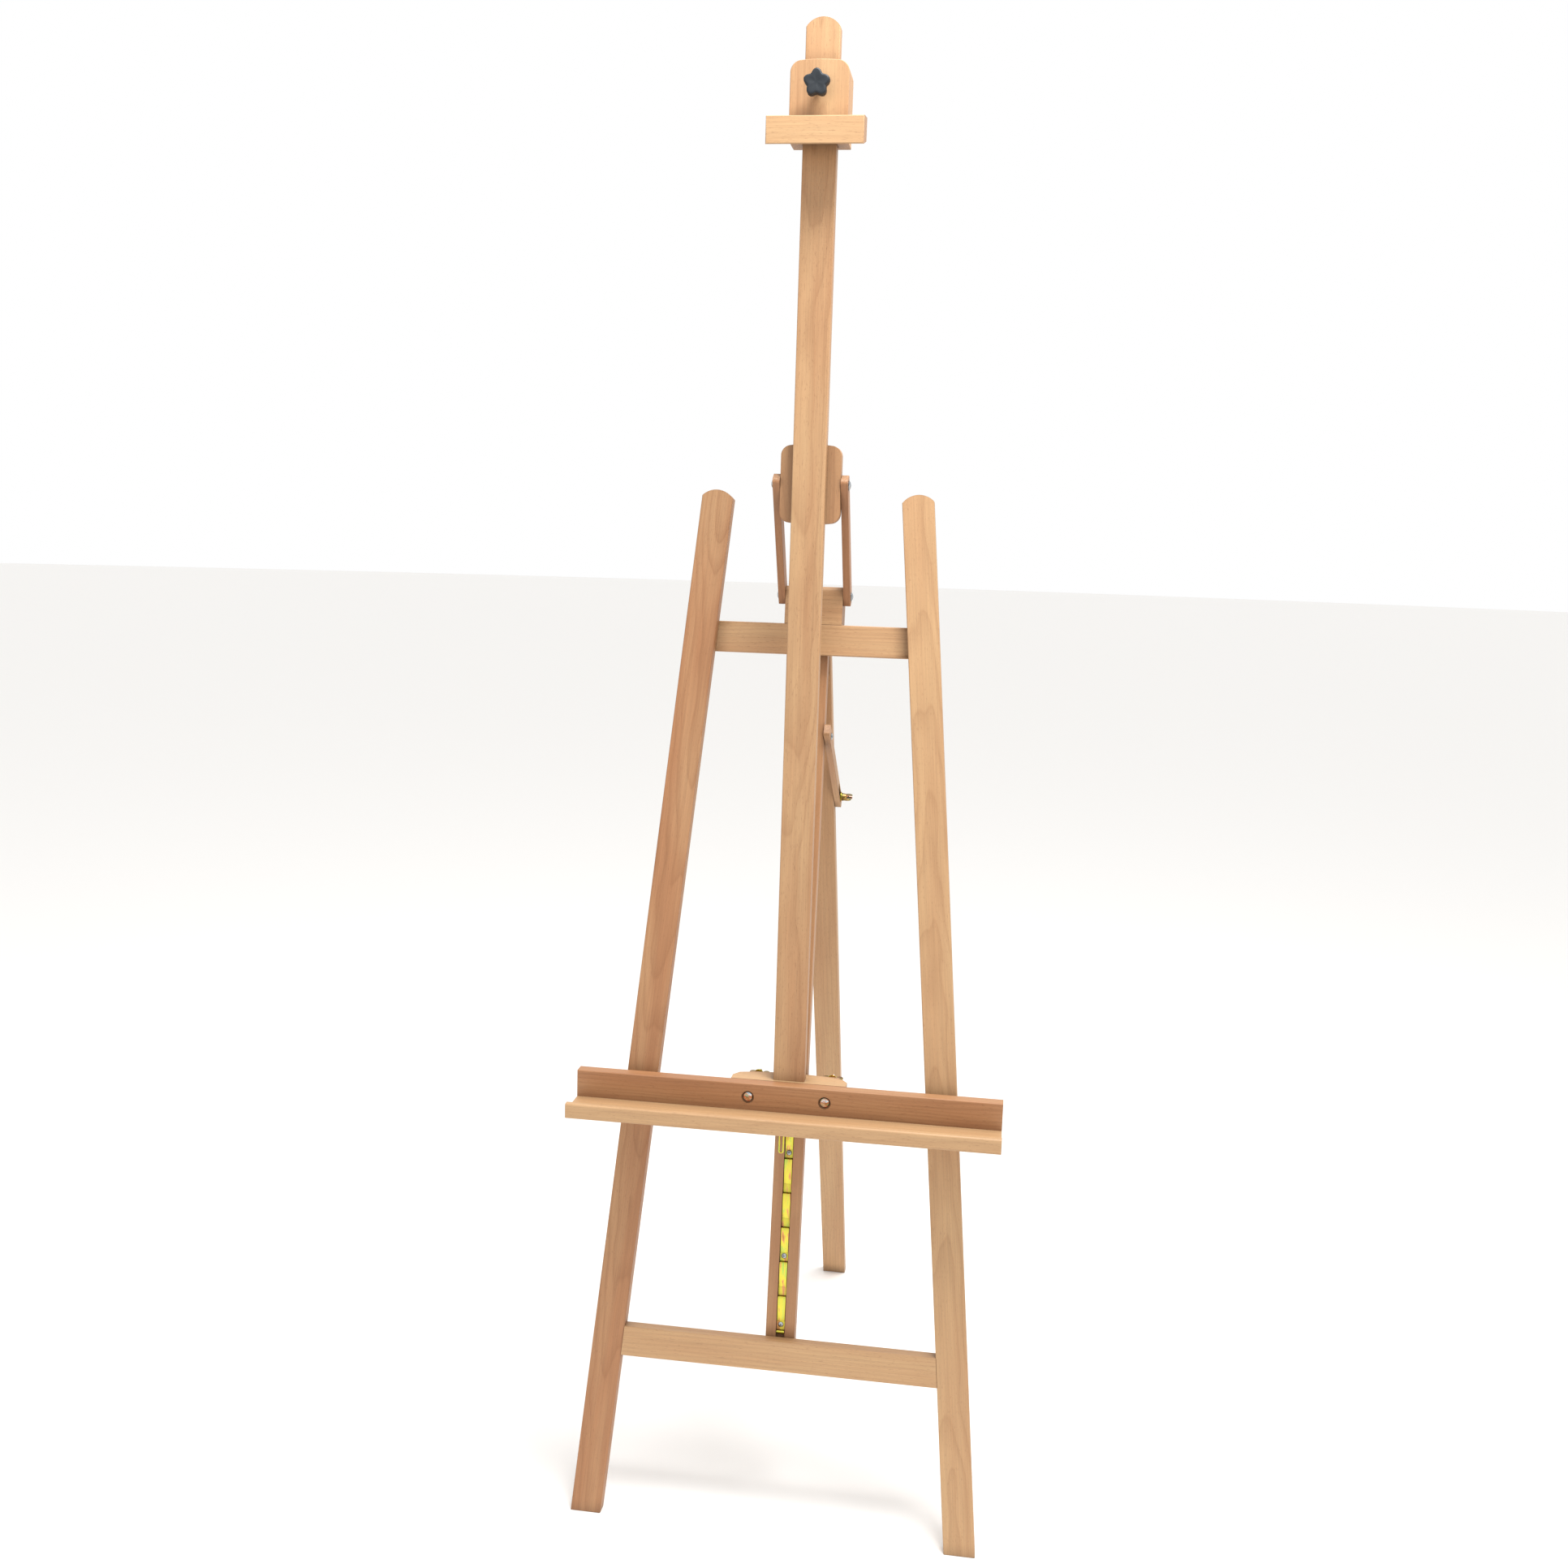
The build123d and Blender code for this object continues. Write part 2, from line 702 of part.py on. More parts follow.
def arm(side):
    rise = paddle_middle - arm_foot_z
    reach = arm_foot_y - paddle_axis
    span = hypot(rise, reach)
    face = Plane.YZ * Pos(0, span / 2) * RectangleRounded(arm_width, span + 2 * arm_end, arm_corner)
    inner = paddle_width / 2 + fit_gap
    start = inner if side > 0 else -inner - arm_thickness
    blank = Pos(start, 0, 0) * extrude(face, arm_thickness)
    shape = Pos(0, arm_foot_y, arm_foot_z) * Rot(degrees(atan2(reach, rise)), 0, 0) * blank
    shape -= pivot_bore(side, arm_foot_y, arm_foot_z, bolt_radius + 2 * hole_play, 30, 60)
    return shape - pivot_bore(side, paddle_axis, paddle_middle, open_pivot_radius, 30, 60)


# ---- top clamp ----

clamp_inner = mast_front - fit_gap
clamp_front = clamp_inner - clamp_plate
clamp_middle = clamp_bottom + clamp_height / 2


def clamp_panel(front, thickness):
    face = arched_face(clamp_width, clamp_height, clamp_corner, 3, False)
    return Pos(0, front, clamp_middle) * extrude(Plane.XZ * face, -thickness)


def clamp_front_plate():
    shape = clamp_panel(clamp_front, clamp_plate)
    return shape - Pos(0, 0, knob_height) * backwards(rod(4.5, 200))


def clamp_spacer(side):
    panel = clamp_panel(clamp_inner, mast_thickness + 2 * fit_gap)
    inner = mast_width / 2 + fit_gap
    keep = Pos(side * (inner + 20), 0, clamp_middle) * Box(40, 400, clamp_height + 10)
    return panel & keep


def clamp_rear_plate():
    return clamp_panel(mast_back + fit_gap, clamp_back_plate)


def canvas_holder():
    """Bar across the clamp with an undercut that hooks over the canvas"""
    front = clamp_front - holder_depth
    outline = [(front, clamp_bottom - 12.5), (front, clamp_bottom + 22.5), (clamp_front, clamp_bottom + 27),
               (clamp_front, clamp_bottom - 2)]
    shape = side_prism(outline, -holder_width / 2, holder_width / 2)
    return fillet(shape.faces().sort_by(Axis.Y)[0].edges(), 1.5)


def clamp_insert():
    """Threaded sleeve in the plate for the knob's screw"""
    sleeve = rod(4.5, clamp_plate - 4) - rod(bolt_radius + hole_play, clamp_plate - 4)
    return Pos(0, clamp_front + 0.2, knob_height) * backwards(sleeve)


def clamp_knob():
    place = Pos(0, clamp_front - knob_reach + 21, knob_height)
    return place * Rot(90, 0, 0) * star_knob()


def clamp_screw():
    start = clamp_front - knob_reach + 21
    return Pos(0, start, knob_height) * backwards(rod(bolt_radius, clamp_inner - start))


os.makedirs("parts", exist_ok=True)

for name, side in (("left", -1), ("right", 1)):
    save("leg_" + name, leg(side))
    save("arm_" + name, arm(side))
    save("arm_foot_bolt_" + name, arm_bolt(side, arm_foot_y, arm_foot_z, arm_bolt_inner))
    save("arm_head_bolt_" + name, arm_bolt(side, paddle_axis, paddle_middle, arm_bolt_inner))
    save("cheek_" + name, cheek(side))
    save("tray_bolt_" + name, tray_bolt(side))
    save("tray_washer_" + name, tray_washer(side))
    save("tray_wing_nut_" + name, tray_wing_nut(side))
    save("clamp_spacer_" + name, clamp_spacer(side))

save("lower_crossbar", lower_crossbar())
save("upper_crossbar", upper_crossbar())
save("upper_crossbar_screws", on_frame(upper_screws()))
save("rail", rail())
save("ratchet_strip", on_rail(ratchet_strip()))
save("strip_screws", on_rail(strip_screws()))
save("head_block", head_block())
save("rear_leg", rear_leg())
save("hinge_fixed_leaf", hinge_fixed_leaf())
save("hinge_moving_leaf", hinge_moving_leaf())
save("hinge_pin", hinge_pin())
save("stay", stay())
save("stay_screw", stay_screw())
save("stay_bolt", stay_bolt())
save("stay_washer", stay_washer())
save("stay_wing_nut", stay_wing_nut())
save("tray_board", tray_board())
save("tray_ledge", tray_ledge())
save("mast_shelf", mast_shelf())
save("mast_screws", mast_screws())
save("rub_block", rub_block())
save("rear_clamp", rear_clamp())
save("pawl_pin", pawl_pin())
save("pawl", pawl())
save("release_loop", release_loop())
save("mast", mast())
save("paddle", paddle())
save("paddle_runner", paddle_runner())
save("paddle_knob", paddle_knob())
save("paddle_screw", paddle_screw())
save("clamp_front_plate", clamp_front_plate())
save("clamp_rear_plate", clamp_rear_plate())
save("canvas_holder", canvas_holder())
save("clamp_insert", clamp_insert())
save("clamp_knob", clamp_knob())
save("clamp_screw", clamp_screw())

print("footprint middle", round(footprint_middle, 3))
print("rail lean", round(rail_lean, 4), "rear lean", round(rear_lean, 4))
print("hinge", round(hinge_y, 3), round(hinge_z, 3))
print("stay pivot", stay_pivot, "stay nut", stay_nut)
print("pawl pin", round(pawl_pin_y, 3), round(pawl_pin_z, 3))
print("arm head", round(paddle_axis, 3), paddle_middle, "clamp back", round(clamp_back, 3))
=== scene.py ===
import json
import math
import random

import bmesh
import bpy
from mathutils import Matrix, Vector

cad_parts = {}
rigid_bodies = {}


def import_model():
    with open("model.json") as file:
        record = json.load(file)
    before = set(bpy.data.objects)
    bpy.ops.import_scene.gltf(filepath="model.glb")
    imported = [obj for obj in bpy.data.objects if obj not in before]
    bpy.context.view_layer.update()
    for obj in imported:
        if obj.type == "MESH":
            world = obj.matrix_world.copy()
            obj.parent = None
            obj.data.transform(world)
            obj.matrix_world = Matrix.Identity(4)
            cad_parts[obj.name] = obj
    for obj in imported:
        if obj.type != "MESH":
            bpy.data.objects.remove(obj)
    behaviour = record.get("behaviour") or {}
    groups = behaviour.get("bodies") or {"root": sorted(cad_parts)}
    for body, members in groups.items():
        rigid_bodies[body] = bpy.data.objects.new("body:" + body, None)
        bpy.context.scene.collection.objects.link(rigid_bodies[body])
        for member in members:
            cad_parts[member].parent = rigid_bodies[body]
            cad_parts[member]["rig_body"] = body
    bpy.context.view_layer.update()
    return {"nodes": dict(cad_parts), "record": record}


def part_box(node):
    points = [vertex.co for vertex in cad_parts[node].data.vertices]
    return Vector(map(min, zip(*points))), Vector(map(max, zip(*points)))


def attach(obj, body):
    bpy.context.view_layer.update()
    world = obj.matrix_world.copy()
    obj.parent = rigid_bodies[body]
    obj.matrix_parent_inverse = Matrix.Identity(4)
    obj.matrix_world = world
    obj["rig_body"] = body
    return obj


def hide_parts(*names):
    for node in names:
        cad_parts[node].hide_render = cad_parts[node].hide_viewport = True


# H frame easel in oiled beech with zinc plated hardware. Lengths in the dictionaries are millimetres.

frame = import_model()
nodes = frame["nodes"]
rng = random.Random(11)
mm = 0.001
print("frame loaded:", len(nodes), "pieces")


def linearColour(hexText):
    # sRGB hex to the linear colour that the shaders want
    parts = [int(hexText[i:i + 2], 16) / 255 for i in (1, 3, 5)]
    return tuple(c / 12.92 if c <= 0.04045 else ((c + 0.055) / 1.055) ** 2.4 for c in parts) + (1.0,)


def addNode(tree, kind, inputs=None, **settings):
    node = tree.nodes.new(kind)
    for name, value in settings.items():
        setattr(node, name, value)
    for name, value in (inputs or {}).items():
        if isinstance(value, bpy.types.NodeSocket):
            tree.links.new(value, node.inputs[name])
        else:
            node.inputs[name].default_value = value
    return node


def setStops(ramp, stops):
    # stops are (place, colour) from left to right
    band = ramp.color_ramp
    while len(band.elements) < len(stops):
        band.elements.new(0.5)
    for element, (place, colour) in zip(band.elements, stops):
        element.position = place
        element.color = colour


def newMaterial(name):
    material = bpy.data.materials.new(name)
    material.use_nodes = True
    material.node_tree.nodes.clear()
    return material, material.node_tree


def axisFrame(origin, along, side=(1, 0, 0)):
    # local +Z runs along the given direction, and local +X stays near the side direction
    z = Vector(along).normalized()
    x = Vector(side)
    x = (x - x.dot(z) * z).normalized()
    y = z.cross(x)
    turn = Matrix((x, y, z)).transposed().to_4x4()
    return Matrix.Translation(Vector(origin)) @ turn


def smoothFaces(mesh):
    for polygon in mesh.polygons:
        polygon.use_smooth = True


def coat(thing, material):
    thing.data.materials.clear()
    thing.data.materials.append(material)


def finishMesh(name, bm, place, smoothAngle=35):
    # local millimetres to the frame's metres
    bmesh.ops.remove_doubles(bm, verts=bm.verts, dist=0.0005)
    bmesh.ops.recalc_face_normals(bm, faces=bm.faces)
    mesh = bpy.data.meshes.new(name)
    bm.to_mesh(mesh)
    bm.free()
    mesh.transform(place @ Matrix.Scale(mm, 4))
    mesh.update()
    smoothFaces(mesh)
    mesh.set_sharp_from_angle(angle=math.radians(smoothAngle))
    thing = bpy.data.objects.new(name, mesh)
    bpy.context.scene.collection.objects.link(thing)
    return thing


def turned(bm, profile, steps=48):
    # a turned shape round Z from (radius, height) points, first and last on the axis or joined up
    rings = []
    for radius, height in profile:
        if radius < 1e-6:
            rings.append([bm.verts.new((0, 0, height))])
            continue
        rings.append([bm.verts.new((radius * math.cos(2 * math.pi * i / steps),
                                    radius * math.sin(2 * math.pi * i / steps), height))
                      for i in range(steps)])
    for low, high in zip(rings, rings[1:]):
        for i in range(steps):
            j = (i + 1) % steps
            corners = [low[i % len(low)], low[j % len(low)], high[j % len(high)], high[i % len(high)]]
            unique = list(dict.fromkeys(corners))
            if len(unique) > 2:
                bm.faces.new(unique)


def threaded(bm, radius, pitch, start, end, steps=24):
    # a screw thread cut into a rod, from start to end along Z, with both ends closed
    depth = 0.55 * pitch
    rows = max(2, int((end - start) / pitch * 6))
    rings = []
    for row in range(rows + 1):
        z = start + (end - start) * row / rows
        ring = []
        for i in range(steps):
            turn = i / steps
            wave = 0.5 + 0.5 * math.cos(2 * math.pi * (z / pitch - turn))
            fade = min(1, (z - start) / pitch, (end - z) / pitch)
            r = radius - depth * (1 - wave) * max(0, fade) - 0.05
            angle = 2 * math.pi * turn
            ring.append(bm.verts.new((r * math.cos(angle), r * math.sin(angle), z)))
        rings.append(ring)
    for low, high in zip(rings, rings[1:]):
        for i in range(steps):
            bm.faces.new((low[i], low[(i + 1) % steps], high[(i + 1) % steps], high[i]))
    bm.faces.new(rings[0][::-1])
    bm.faces.new(rings[-1])


def domeProfile(radius, rise, rim, rows=10):
    # from the crown down to the rim of a domed head whose flat side is at height 0
    ball = (radius ** 2 + (rise - rim) ** 2) / (2 * (rise - rim))
    reach = math.asin(radius / ball)
    points = []
    for i in range(rows + 1):
        a = reach * i / rows
        points.append((ball * math.sin(a), rise - ball + ball * math.cos(a)))
    points += [(radius, rim * 0.4), (radius - rim * 0.4, 0)]
    return points


def useMesh(thing, material, node):
    # the detailed piece takes the place and the body of the CAD piece, which is hidden, and gets the given
    # material
    coat(thing, material)
    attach(thing, bodyOf[node])
    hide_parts(node)


bodyOf = {name: thing["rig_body"] for name, thing in nodes.items()}
slotOf = {part["node"]: part["material_slot"] for part in frame["record"]["subparts"]}


# Oiled beech, planed and sanded: pale tan with a pink cast, fine fibres along each piece, short dark ray
# flecks and soft growth rings that open into tongues where the board was cut near the rings' face
beech = {
    "pale": "#BF9A70",
    "warm": "#A5744E",
    "ring": "#865835",
    "fleck": "#6A4227",
    "endPale": "#AC8461",
    "endDark": "#6F4828",
    "edge": "#744725",
    "ringWidth": 5.5,       # real rings are 2 to 4 mm, drawn wider so that they show
    "fibreWidth": 1.6,      # real fibres are under 0.1 mm, drawn coarser so that they show
    "fibreLength": 110,
    "fleckWidth": 0.9,
    "fleckLength": 7,
    "waver": 23.4,          # how far the rings wander across the piece
    "waverSize": (55, 55, 260),
    "toneSize": (34, 34, 330),
    "ior": 1.5,
    "roughness": 0.46,
    "grainHeight": 0.06,
    "cornerShade": 0.6,            # painted shade: how much the corners between pieces darken, and how far out
    "cornerShadeReach": 22,
}

# the easel's own lines: leans in degrees, then where the legs stand, the crossbars' places along the legs, and
# the shift from the front feet to the middle of the footprint
easel = {"lean": 5.83, "railLean": 6.8192, "rearLean": 26.6447, "footReach": 277, "topReach": 143,
         "legRise": 1503, "legThickness": 20, "lowerBar": 242, "upperBar": 1306.5, "middle": -415.688}
lean = math.radians(easel["lean"])
legSpread = easel["footReach"] - easel["topReach"]
legTilt = math.atan(legSpread / easel["legRise"])
railLean = math.radians(easel["railLean"])
rearLean = math.radians(easel["rearLean"])
legRun = (math.sin(legTilt), math.cos(legTilt) * math.sin(lean), math.cos(legTilt) * math.cos(lean))
armRun = (0, -86.6, 153)
stayRun = (0, 164.23, -114.5)
up = (0, 0, 1)
level = (1, 0, 0)

# grain direction, rings' middle across the piece, tilt and strength of the rings, tone and edge rounding
woodPieces = {
    "leg_left": {"along": legRun, "pith": (14, 42), "tilt": 0.035, "rings": 0.75, "tone": 0.8, "ease": 0.8},
    "leg_right": {"along": (-legRun[0], legRun[1], legRun[2]), "pith": (-10, 48), "tilt": -0.03, "rings": 0.5,
                  "tone": 0.05, "ease": 0.8},
    "lower_crossbar": {"along": level, "pith": (60, 20), "tilt": 0.01, "rings": 0.3, "tone": 0.0, "ease": 0.0},
    "upper_crossbar": {"along": level, "pith": (44, 12), "tilt": 0.02, "rings": 0.4, "tone": 0.15, "ease": 0.0},
    "rail": {"along": (0, math.sin(railLean), math.cos(railLean)), "pith": (30, 70), "tilt": 0.01, "rings": 0.3,
             "tone": 0.75, "ease": 0.4},
    "head_block": {"along": level, "pith": (60, 30), "tilt": 0.02, "rings": 0.35, "tone": 0.2, "ease": 0.7},
    "rear_leg": {"along": (0, -math.sin(rearLean), math.cos(rearLean)), "pith": (80, 15), "tilt": 0.012,
                 "rings": 0.35, "tone": 0.1, "ease": 0.8},
    "stay": {"along": stayRun, "pith": (30, 30), "tilt": 0.01, "rings": 0.35, "tone": 0.3, "ease": 1.0},
    "mast": {"along": up, "pith": (-12, 46), "tilt": 0.02, "rings": 0.55, "tone": 0.35, "ease": 0.8},
    "tray_board": {"along": level, "pith": (70, 12), "tilt": 0.006, "rings": 0.6, "tone": 1.0, "ease": 0.5},
    "tray_ledge": {"along": level, "pith": (34, 60), "tilt": 0.015, "rings": 0.3, "tone": 0.05, "ease": 0.5},
    "mast_shelf": {"along": level, "pith": (25, 50), "tilt": 0.02, "rings": 0.3, "tone": 0.1, "ease": 1.0},
    "cheek_left": {"along": up, "pith": (40, 20), "tilt": 0.02, "rings": 0.4, "tone": 0.3, "ease": 1.0},
    "cheek_right": {"along": up, "pith": (-30, 35), "tilt": 0.02, "rings": 0.4, "tone": 0.4, "ease": 1.0},
    "rub_block": {"along": level, "pith": (40, 20), "tilt": 0.02, "rings": 0.4, "tone": 0.2, "ease": 0.6},
    "rear_clamp": {"along": level, "pith": (40, 25), "tilt": 0.015, "rings": 0.5, "tone": 0.3, "ease": 1.0},
    "paddle": {"along": up, "pith": (20, 30), "tilt": 0.03, "rings": 0.45, "tone": 0.5, "ease": 1.2},
    "paddle_runner": {"along": up, "pith": (20, 30), "tilt": 0.01, "rings": 0.3, "tone": 0.3, "ease": 0.4},
    # the arms' tone is set darker as painted shade, for the shade of the mast they sit in
    "arm_left": {"along": armRun, "pith": (25, 18), "tilt": 0.01, "rings": 0.7, "tone": 1.1, "ease": 1.2},
    "arm_right": {"along": armRun, "pith": (-28, 16), "tilt": 0.01, "rings": 0.7, "tone": 1.0, "ease": 1.2},
    "clamp_front_plate": {"along": up, "pith": (18, 55), "tilt": 0.02, "rings": 0.5, "tone": 0.3, "ease": 1.0},
    "clamp_rear_plate": {"along": up, "pith": (30, 40), "tilt": 0.02, "rings": 0.4, "tone": 0.2, "ease": 1.0},
    "clamp_spacer_left": {"along": up, "pith": (30, 20), "tilt": 0.02, "rings": 0.3, "tone": 0.3, "ease": 0.5},
    "clamp_spacer_right": {"along": up, "pith": (-30, 20), "tilt": 0.02, "rings": 0.3, "tone": 0.2, "ease": 0.5},
    "canvas_holder": {"along": level, "pith": (55, 35), "tilt": 0.01, "rings": 0.3, "tone": 0.1, "ease": 0.8},
}


def oiledBeech(name, piece):
    # each piece is cut from its own place in the log, so its rings and flecks differ from its neighbours'
    material, tree = newMaterial("oiledBeech_" + name)
    low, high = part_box(name)
    middle = (low + high) / 2
    along = Vector(piece["along"]).normalized()
    turn = along.rotation_difference(Vector((0, 0, 1)))
    shift = Vector((rng.uniform(-400, 400), rng.uniform(-400, 400), rng.uniform(-2000, 2000)))
    pith = Vector((piece["pith"][0], piece["pith"][1], 0))
    home = turn.to_matrix() @ (middle / mm)

    coords = addNode(tree, "ShaderNodeTexCoord")
    grain = addNode(tree, "ShaderNodeMapping", {"Vector": coords.outputs["Object"], "Location": -home,
                                               "Rotation": turn.to_euler(), "Scale": (1 / mm,) * 3})
    point = grain.outputs["Vector"]      # millimetres from the middle of the piece, grain along Z
    cut = addNode(tree, "ShaderNodeVectorMath", {0: point, 1: shift}, operation="ADD").outputs["Vector"]

    # slow waver of the rings along the board
    slow = addNode(tree, "ShaderNodeMapping", {"Vector": cut,
                                              "Scale": [1 / size for size in beech["waverSize"]]})
    waver = addNode(tree, "ShaderNodeTexNoise", {"Vector": slow.outputs["Vector"], "Scale": 1.0, "Detail": 2.0})
    centred = addNode(tree, "ShaderNodeVectorMath", {0: waver.outputs["Color"], 1: (0.5, 0.5, 0.5)},
                      operation="SUBTRACT").outputs["Vector"]
    swing = (beech["waver"], beech["waver"], 0)
    pushed = addNode(tree, "ShaderNodeVectorMath", {0: centred, 1: swing, 2: point},
                     operation="MULTIPLY_ADD").outputs["Vector"]
    parts = addNode(tree, "ShaderNodeSeparateXYZ", {0: pushed})
    tiltedY = addNode(tree, "ShaderNodeMath", {0: parts.outputs["Z"], 1: piece["tilt"], 2: parts.outputs["Y"]},
                      operation="MULTIPLY_ADD")
    flat = addNode(tree, "ShaderNodeCombineXYZ", {"X": parts.outputs["X"], "Y": tiltedY.outputs[0]})
    fromPith = addNode(tree, "ShaderNodeVectorMath", {0: flat.outputs["Vector"], 1: pith}, operation="DISTANCE")
    phase = addNode(tree, "ShaderNodeMath", {0: fromPith.outputs["Value"], 1: beech["ringWidth"]},
                    operation="DIVIDE")
    saw = addNode(tree, "ShaderNodeMath", {0: phase.outputs[0]}, operation="FRACT")
    ring = addNode(tree, "ShaderNodeValToRGB", {"Fac": saw.outputs[0]})
    setStops(ring, [(0.0, (0.25,) * 3 + (1,)), (0.45, (0.1,) * 3 + (1,)), (0.86, (0.75,) * 3 + (1,)),
                    (0.93, (1.0,) * 3 + (1,)), (1.0, (0.25,) * 3 + (1,))])

    # fibres, flecks and the broad change of tone
    fine = addNode(tree, "ShaderNodeMapping", {"Vector": cut, "Scale": (1 / beech["fibreWidth"],) * 2 +
                                              (1 / beech["fibreLength"],)})
    fibre = addNode(tree, "ShaderNodeTexNoise", {"Vector": fine.outputs["Vector"], "Scale": 1.0, "Detail": 4.0,
                                                "Roughness": 0.62})
    short = addNode(tree, "ShaderNodeMapping", {"Vector": cut, "Scale": (1 / beech["fleckWidth"],) * 2 +
                                               (1 / beech["fleckLength"],)})
    fleckNoise = addNode(tree, "ShaderNodeTexNoise", {"Vector": short.outputs["Vector"], "Scale": 1.0,
                                                     "Detail": 1.0})
    fleck = addNode(tree, "ShaderNodeMapRange", {"Value": fleckNoise.outputs["Fac"], "From Min": 0.62,
                                                "From Max": 0.74})
    wide = addNode(tree, "ShaderNodeMapping", {"Vector": cut,
                                              "Scale": [1 / size for size in beech["toneSize"]]})
    tone = addNode(tree, "ShaderNodeTexNoise", {"Vector": wide.outputs["Vector"], "Scale": 1.0, "Detail": 2.0})
    toneMix = addNode(tree, "ShaderNodeMapRange", {"Value": tone.outputs["Fac"], "From Min": 0.3, "From Max": 0.7,
                                                  "To Min": max(0, piece["tone"] - 0.3),
                                                  "To Max": min(1.15, piece["tone"] + 0.35)}, clamp=False)
    base = addNode(tree, "ShaderNodeMix", {0: toneMix.outputs["Result"], 6: linearColour(beech["pale"]),
                                          7: linearColour(beech["warm"])}, data_type="RGBA")
    ringAmount = addNode(tree, "ShaderNodeMath", {0: ring.outputs["Color"], 1: 0.55 * piece["rings"]},
                         operation="MULTIPLY")
    ringed = addNode(tree, "ShaderNodeMix", {0: ringAmount.outputs[0], 6: base.outputs[2],
                                            7: linearColour(beech["ring"])}, data_type="RGBA")
    fibreTone = addNode(tree, "ShaderNodeMapRange", {"Value": fibre.outputs["Fac"], "From Min": 0.3,
                                                    "From Max": 0.7, "To Min": 0.87, "To Max": 1.06})
    streaked = addNode(tree, "ShaderNodeVectorMath", {0: ringed.outputs[2],
                                                     "Scale": fibreTone.outputs["Result"]}, operation="SCALE")
    fleckAmount = addNode(tree, "ShaderNodeMath", {0: fleck.outputs["Result"], 1: 0.3}, operation="MULTIPLY")
    flecked = addNode(tree, "ShaderNodeMix", {0: fleckAmount.outputs[0], 6: streaked.outputs["Vector"],
                                             7: linearColour(beech["fleck"])}, data_type="RGBA")

    # end grain where the surface looks along the fibres: darker, with pores in place of streaks
    facing = addNode(tree, "ShaderNodeVectorMath", {0: coords.outputs["Normal"], 1: along},
                     operation="DOT_PRODUCT")
    facingSize = addNode(tree, "ShaderNodeMath", {0: facing.outputs["Value"]}, operation="ABSOLUTE")
    isEnd = addNode(tree, "ShaderNodeMapRange", {"Value": facingSize.outputs[0], "From Min": 0.6,
                                                "From Max": 0.85})
    pores = addNode(tree, "ShaderNodeTexNoise", {"Vector": cut, "Scale": 0.9, "Detail": 3.0})
    endTone = addNode(tree, "ShaderNodeMapRange", {"Value": pores.outputs["Fac"], "From Min": 0.4,
                                                  "From Max": 0.62})
    endRing = addNode(tree, "ShaderNodeMath", {0: ring.outputs["Color"], 1: 0.45, 2: endTone.outputs["Result"]},
                      operation="MULTIPLY_ADD")
    endHalf = addNode(tree, "ShaderNodeMath", {0: endRing.outputs[0], 1: 0.5}, operation="MULTIPLY")
    endColour = addNode(tree, "ShaderNodeMix", {0: endHalf.outputs[0], 6: linearColour(beech["endPale"]),
                                               7: linearColour(beech["endDark"])}, data_type="RGBA")
    sawn = addNode(tree, "ShaderNodeMix", {0: isEnd.outputs["Result"], 6: flecked.outputs[2],
                                          7: endColour.outputs[2]}, data_type="RGBA")

    # handled edges: oil and dirt gather on the worn corners
    corner = addNode(tree, "ShaderNodeBevel", {"Radius": 2.2 * mm}, samples=4)
    geometry = addNode(tree, "ShaderNodeNewGeometry")
    match = addNode(tree, "ShaderNodeVectorMath", {0: corner.outputs["Normal"], 1: geometry.outputs["Normal"]},
                    operation="DOT_PRODUCT")
    worn = addNode(tree, "ShaderNodeMapRange", {"Value": match.outputs["Value"], "From Min": 0.985,
                                               "From Max": 0.85, "To Max": 0.5})
    patchy = addNode(tree, "ShaderNodeMath", {0: worn.outputs["Result"], 1: tone.outputs["Fac"]},
                     operation="MULTIPLY")
    edged = addNode(tree, "ShaderNodeMix", {0: patchy.outputs[0], 6: sawn.outputs[2],
                                           7: linearColour(beech["edge"])}, data_type="RGBA")

    # painted shade: ambient occlusion darkens the wood's colour in the corners between pieces and under parts
    # that stand out
    crevice = addNode(tree, "ShaderNodeAmbientOcclusion", {"Color": edged.outputs[2],
                                                          "Distance": beech["cornerShadeReach"] * mm}, samples=8)
    cornerShaded = addNode(tree, "ShaderNodeMix", {0: beech["cornerShade"], 6: edged.outputs[2],
                                           7: crevice.outputs["Color"]}, data_type="RGBA")

    gloss = addNode(tree, "ShaderNodeMapRange", {"Value": fibre.outputs["Fac"],
                                                "To Min": beech["roughness"] - 0.06,
                                                "To Max": beech["roughness"] + 0.14})
    relief = addNode(tree, "ShaderNodeMath", {0: fleck.outputs["Result"], 1: -0.6, 2: fibre.outputs["Fac"]},
                     operation="MULTIPLY_ADD")
    bump = addNode(tree, "ShaderNodeBump", {"Strength": 0.5, "Distance": beech["grainHeight"] * mm,
                                           "Height": relief.outputs[0]})
    shader = addNode(tree, "ShaderNodeBsdfPrincipled", {"Base Color": cornerShaded.outputs[2], "IOR": beech["ior"],
                                                       "Roughness": gloss.outputs["Result"],
                                                       "Normal": bump.outputs["Normal"]})
    addNode(tree, "ShaderNodeOutputMaterial", {"Surface": shader.outputs["BSDF"]})
    return material


def easeEdges(thing, width):
    # sanded arrises: join the faces, clear the flat ones' inner edges, then round what is still sharp
    weld = thing.modifiers.new("weld", "WELD")
    weld.merge_threshold = 0.000002
    if width:
        flatten = thing.modifiers.new("flatten", "DECIMATE")
        flatten.decimate_type = "DISSOLVE"
        flatten.angle_limit = math.radians(0.6)
        bevel = thing.modifiers.new("arris", "BEVEL")
        bevel.width = width * mm
        bevel.segments = 3
        bevel.limit_method = "ANGLE"
        bevel.angle_limit = math.radians(48)
    shade = thing.modifiers.new("shade", "WEIGHTED_NORMAL")
    shade.keep_sharp = False
    shade.weight = 80


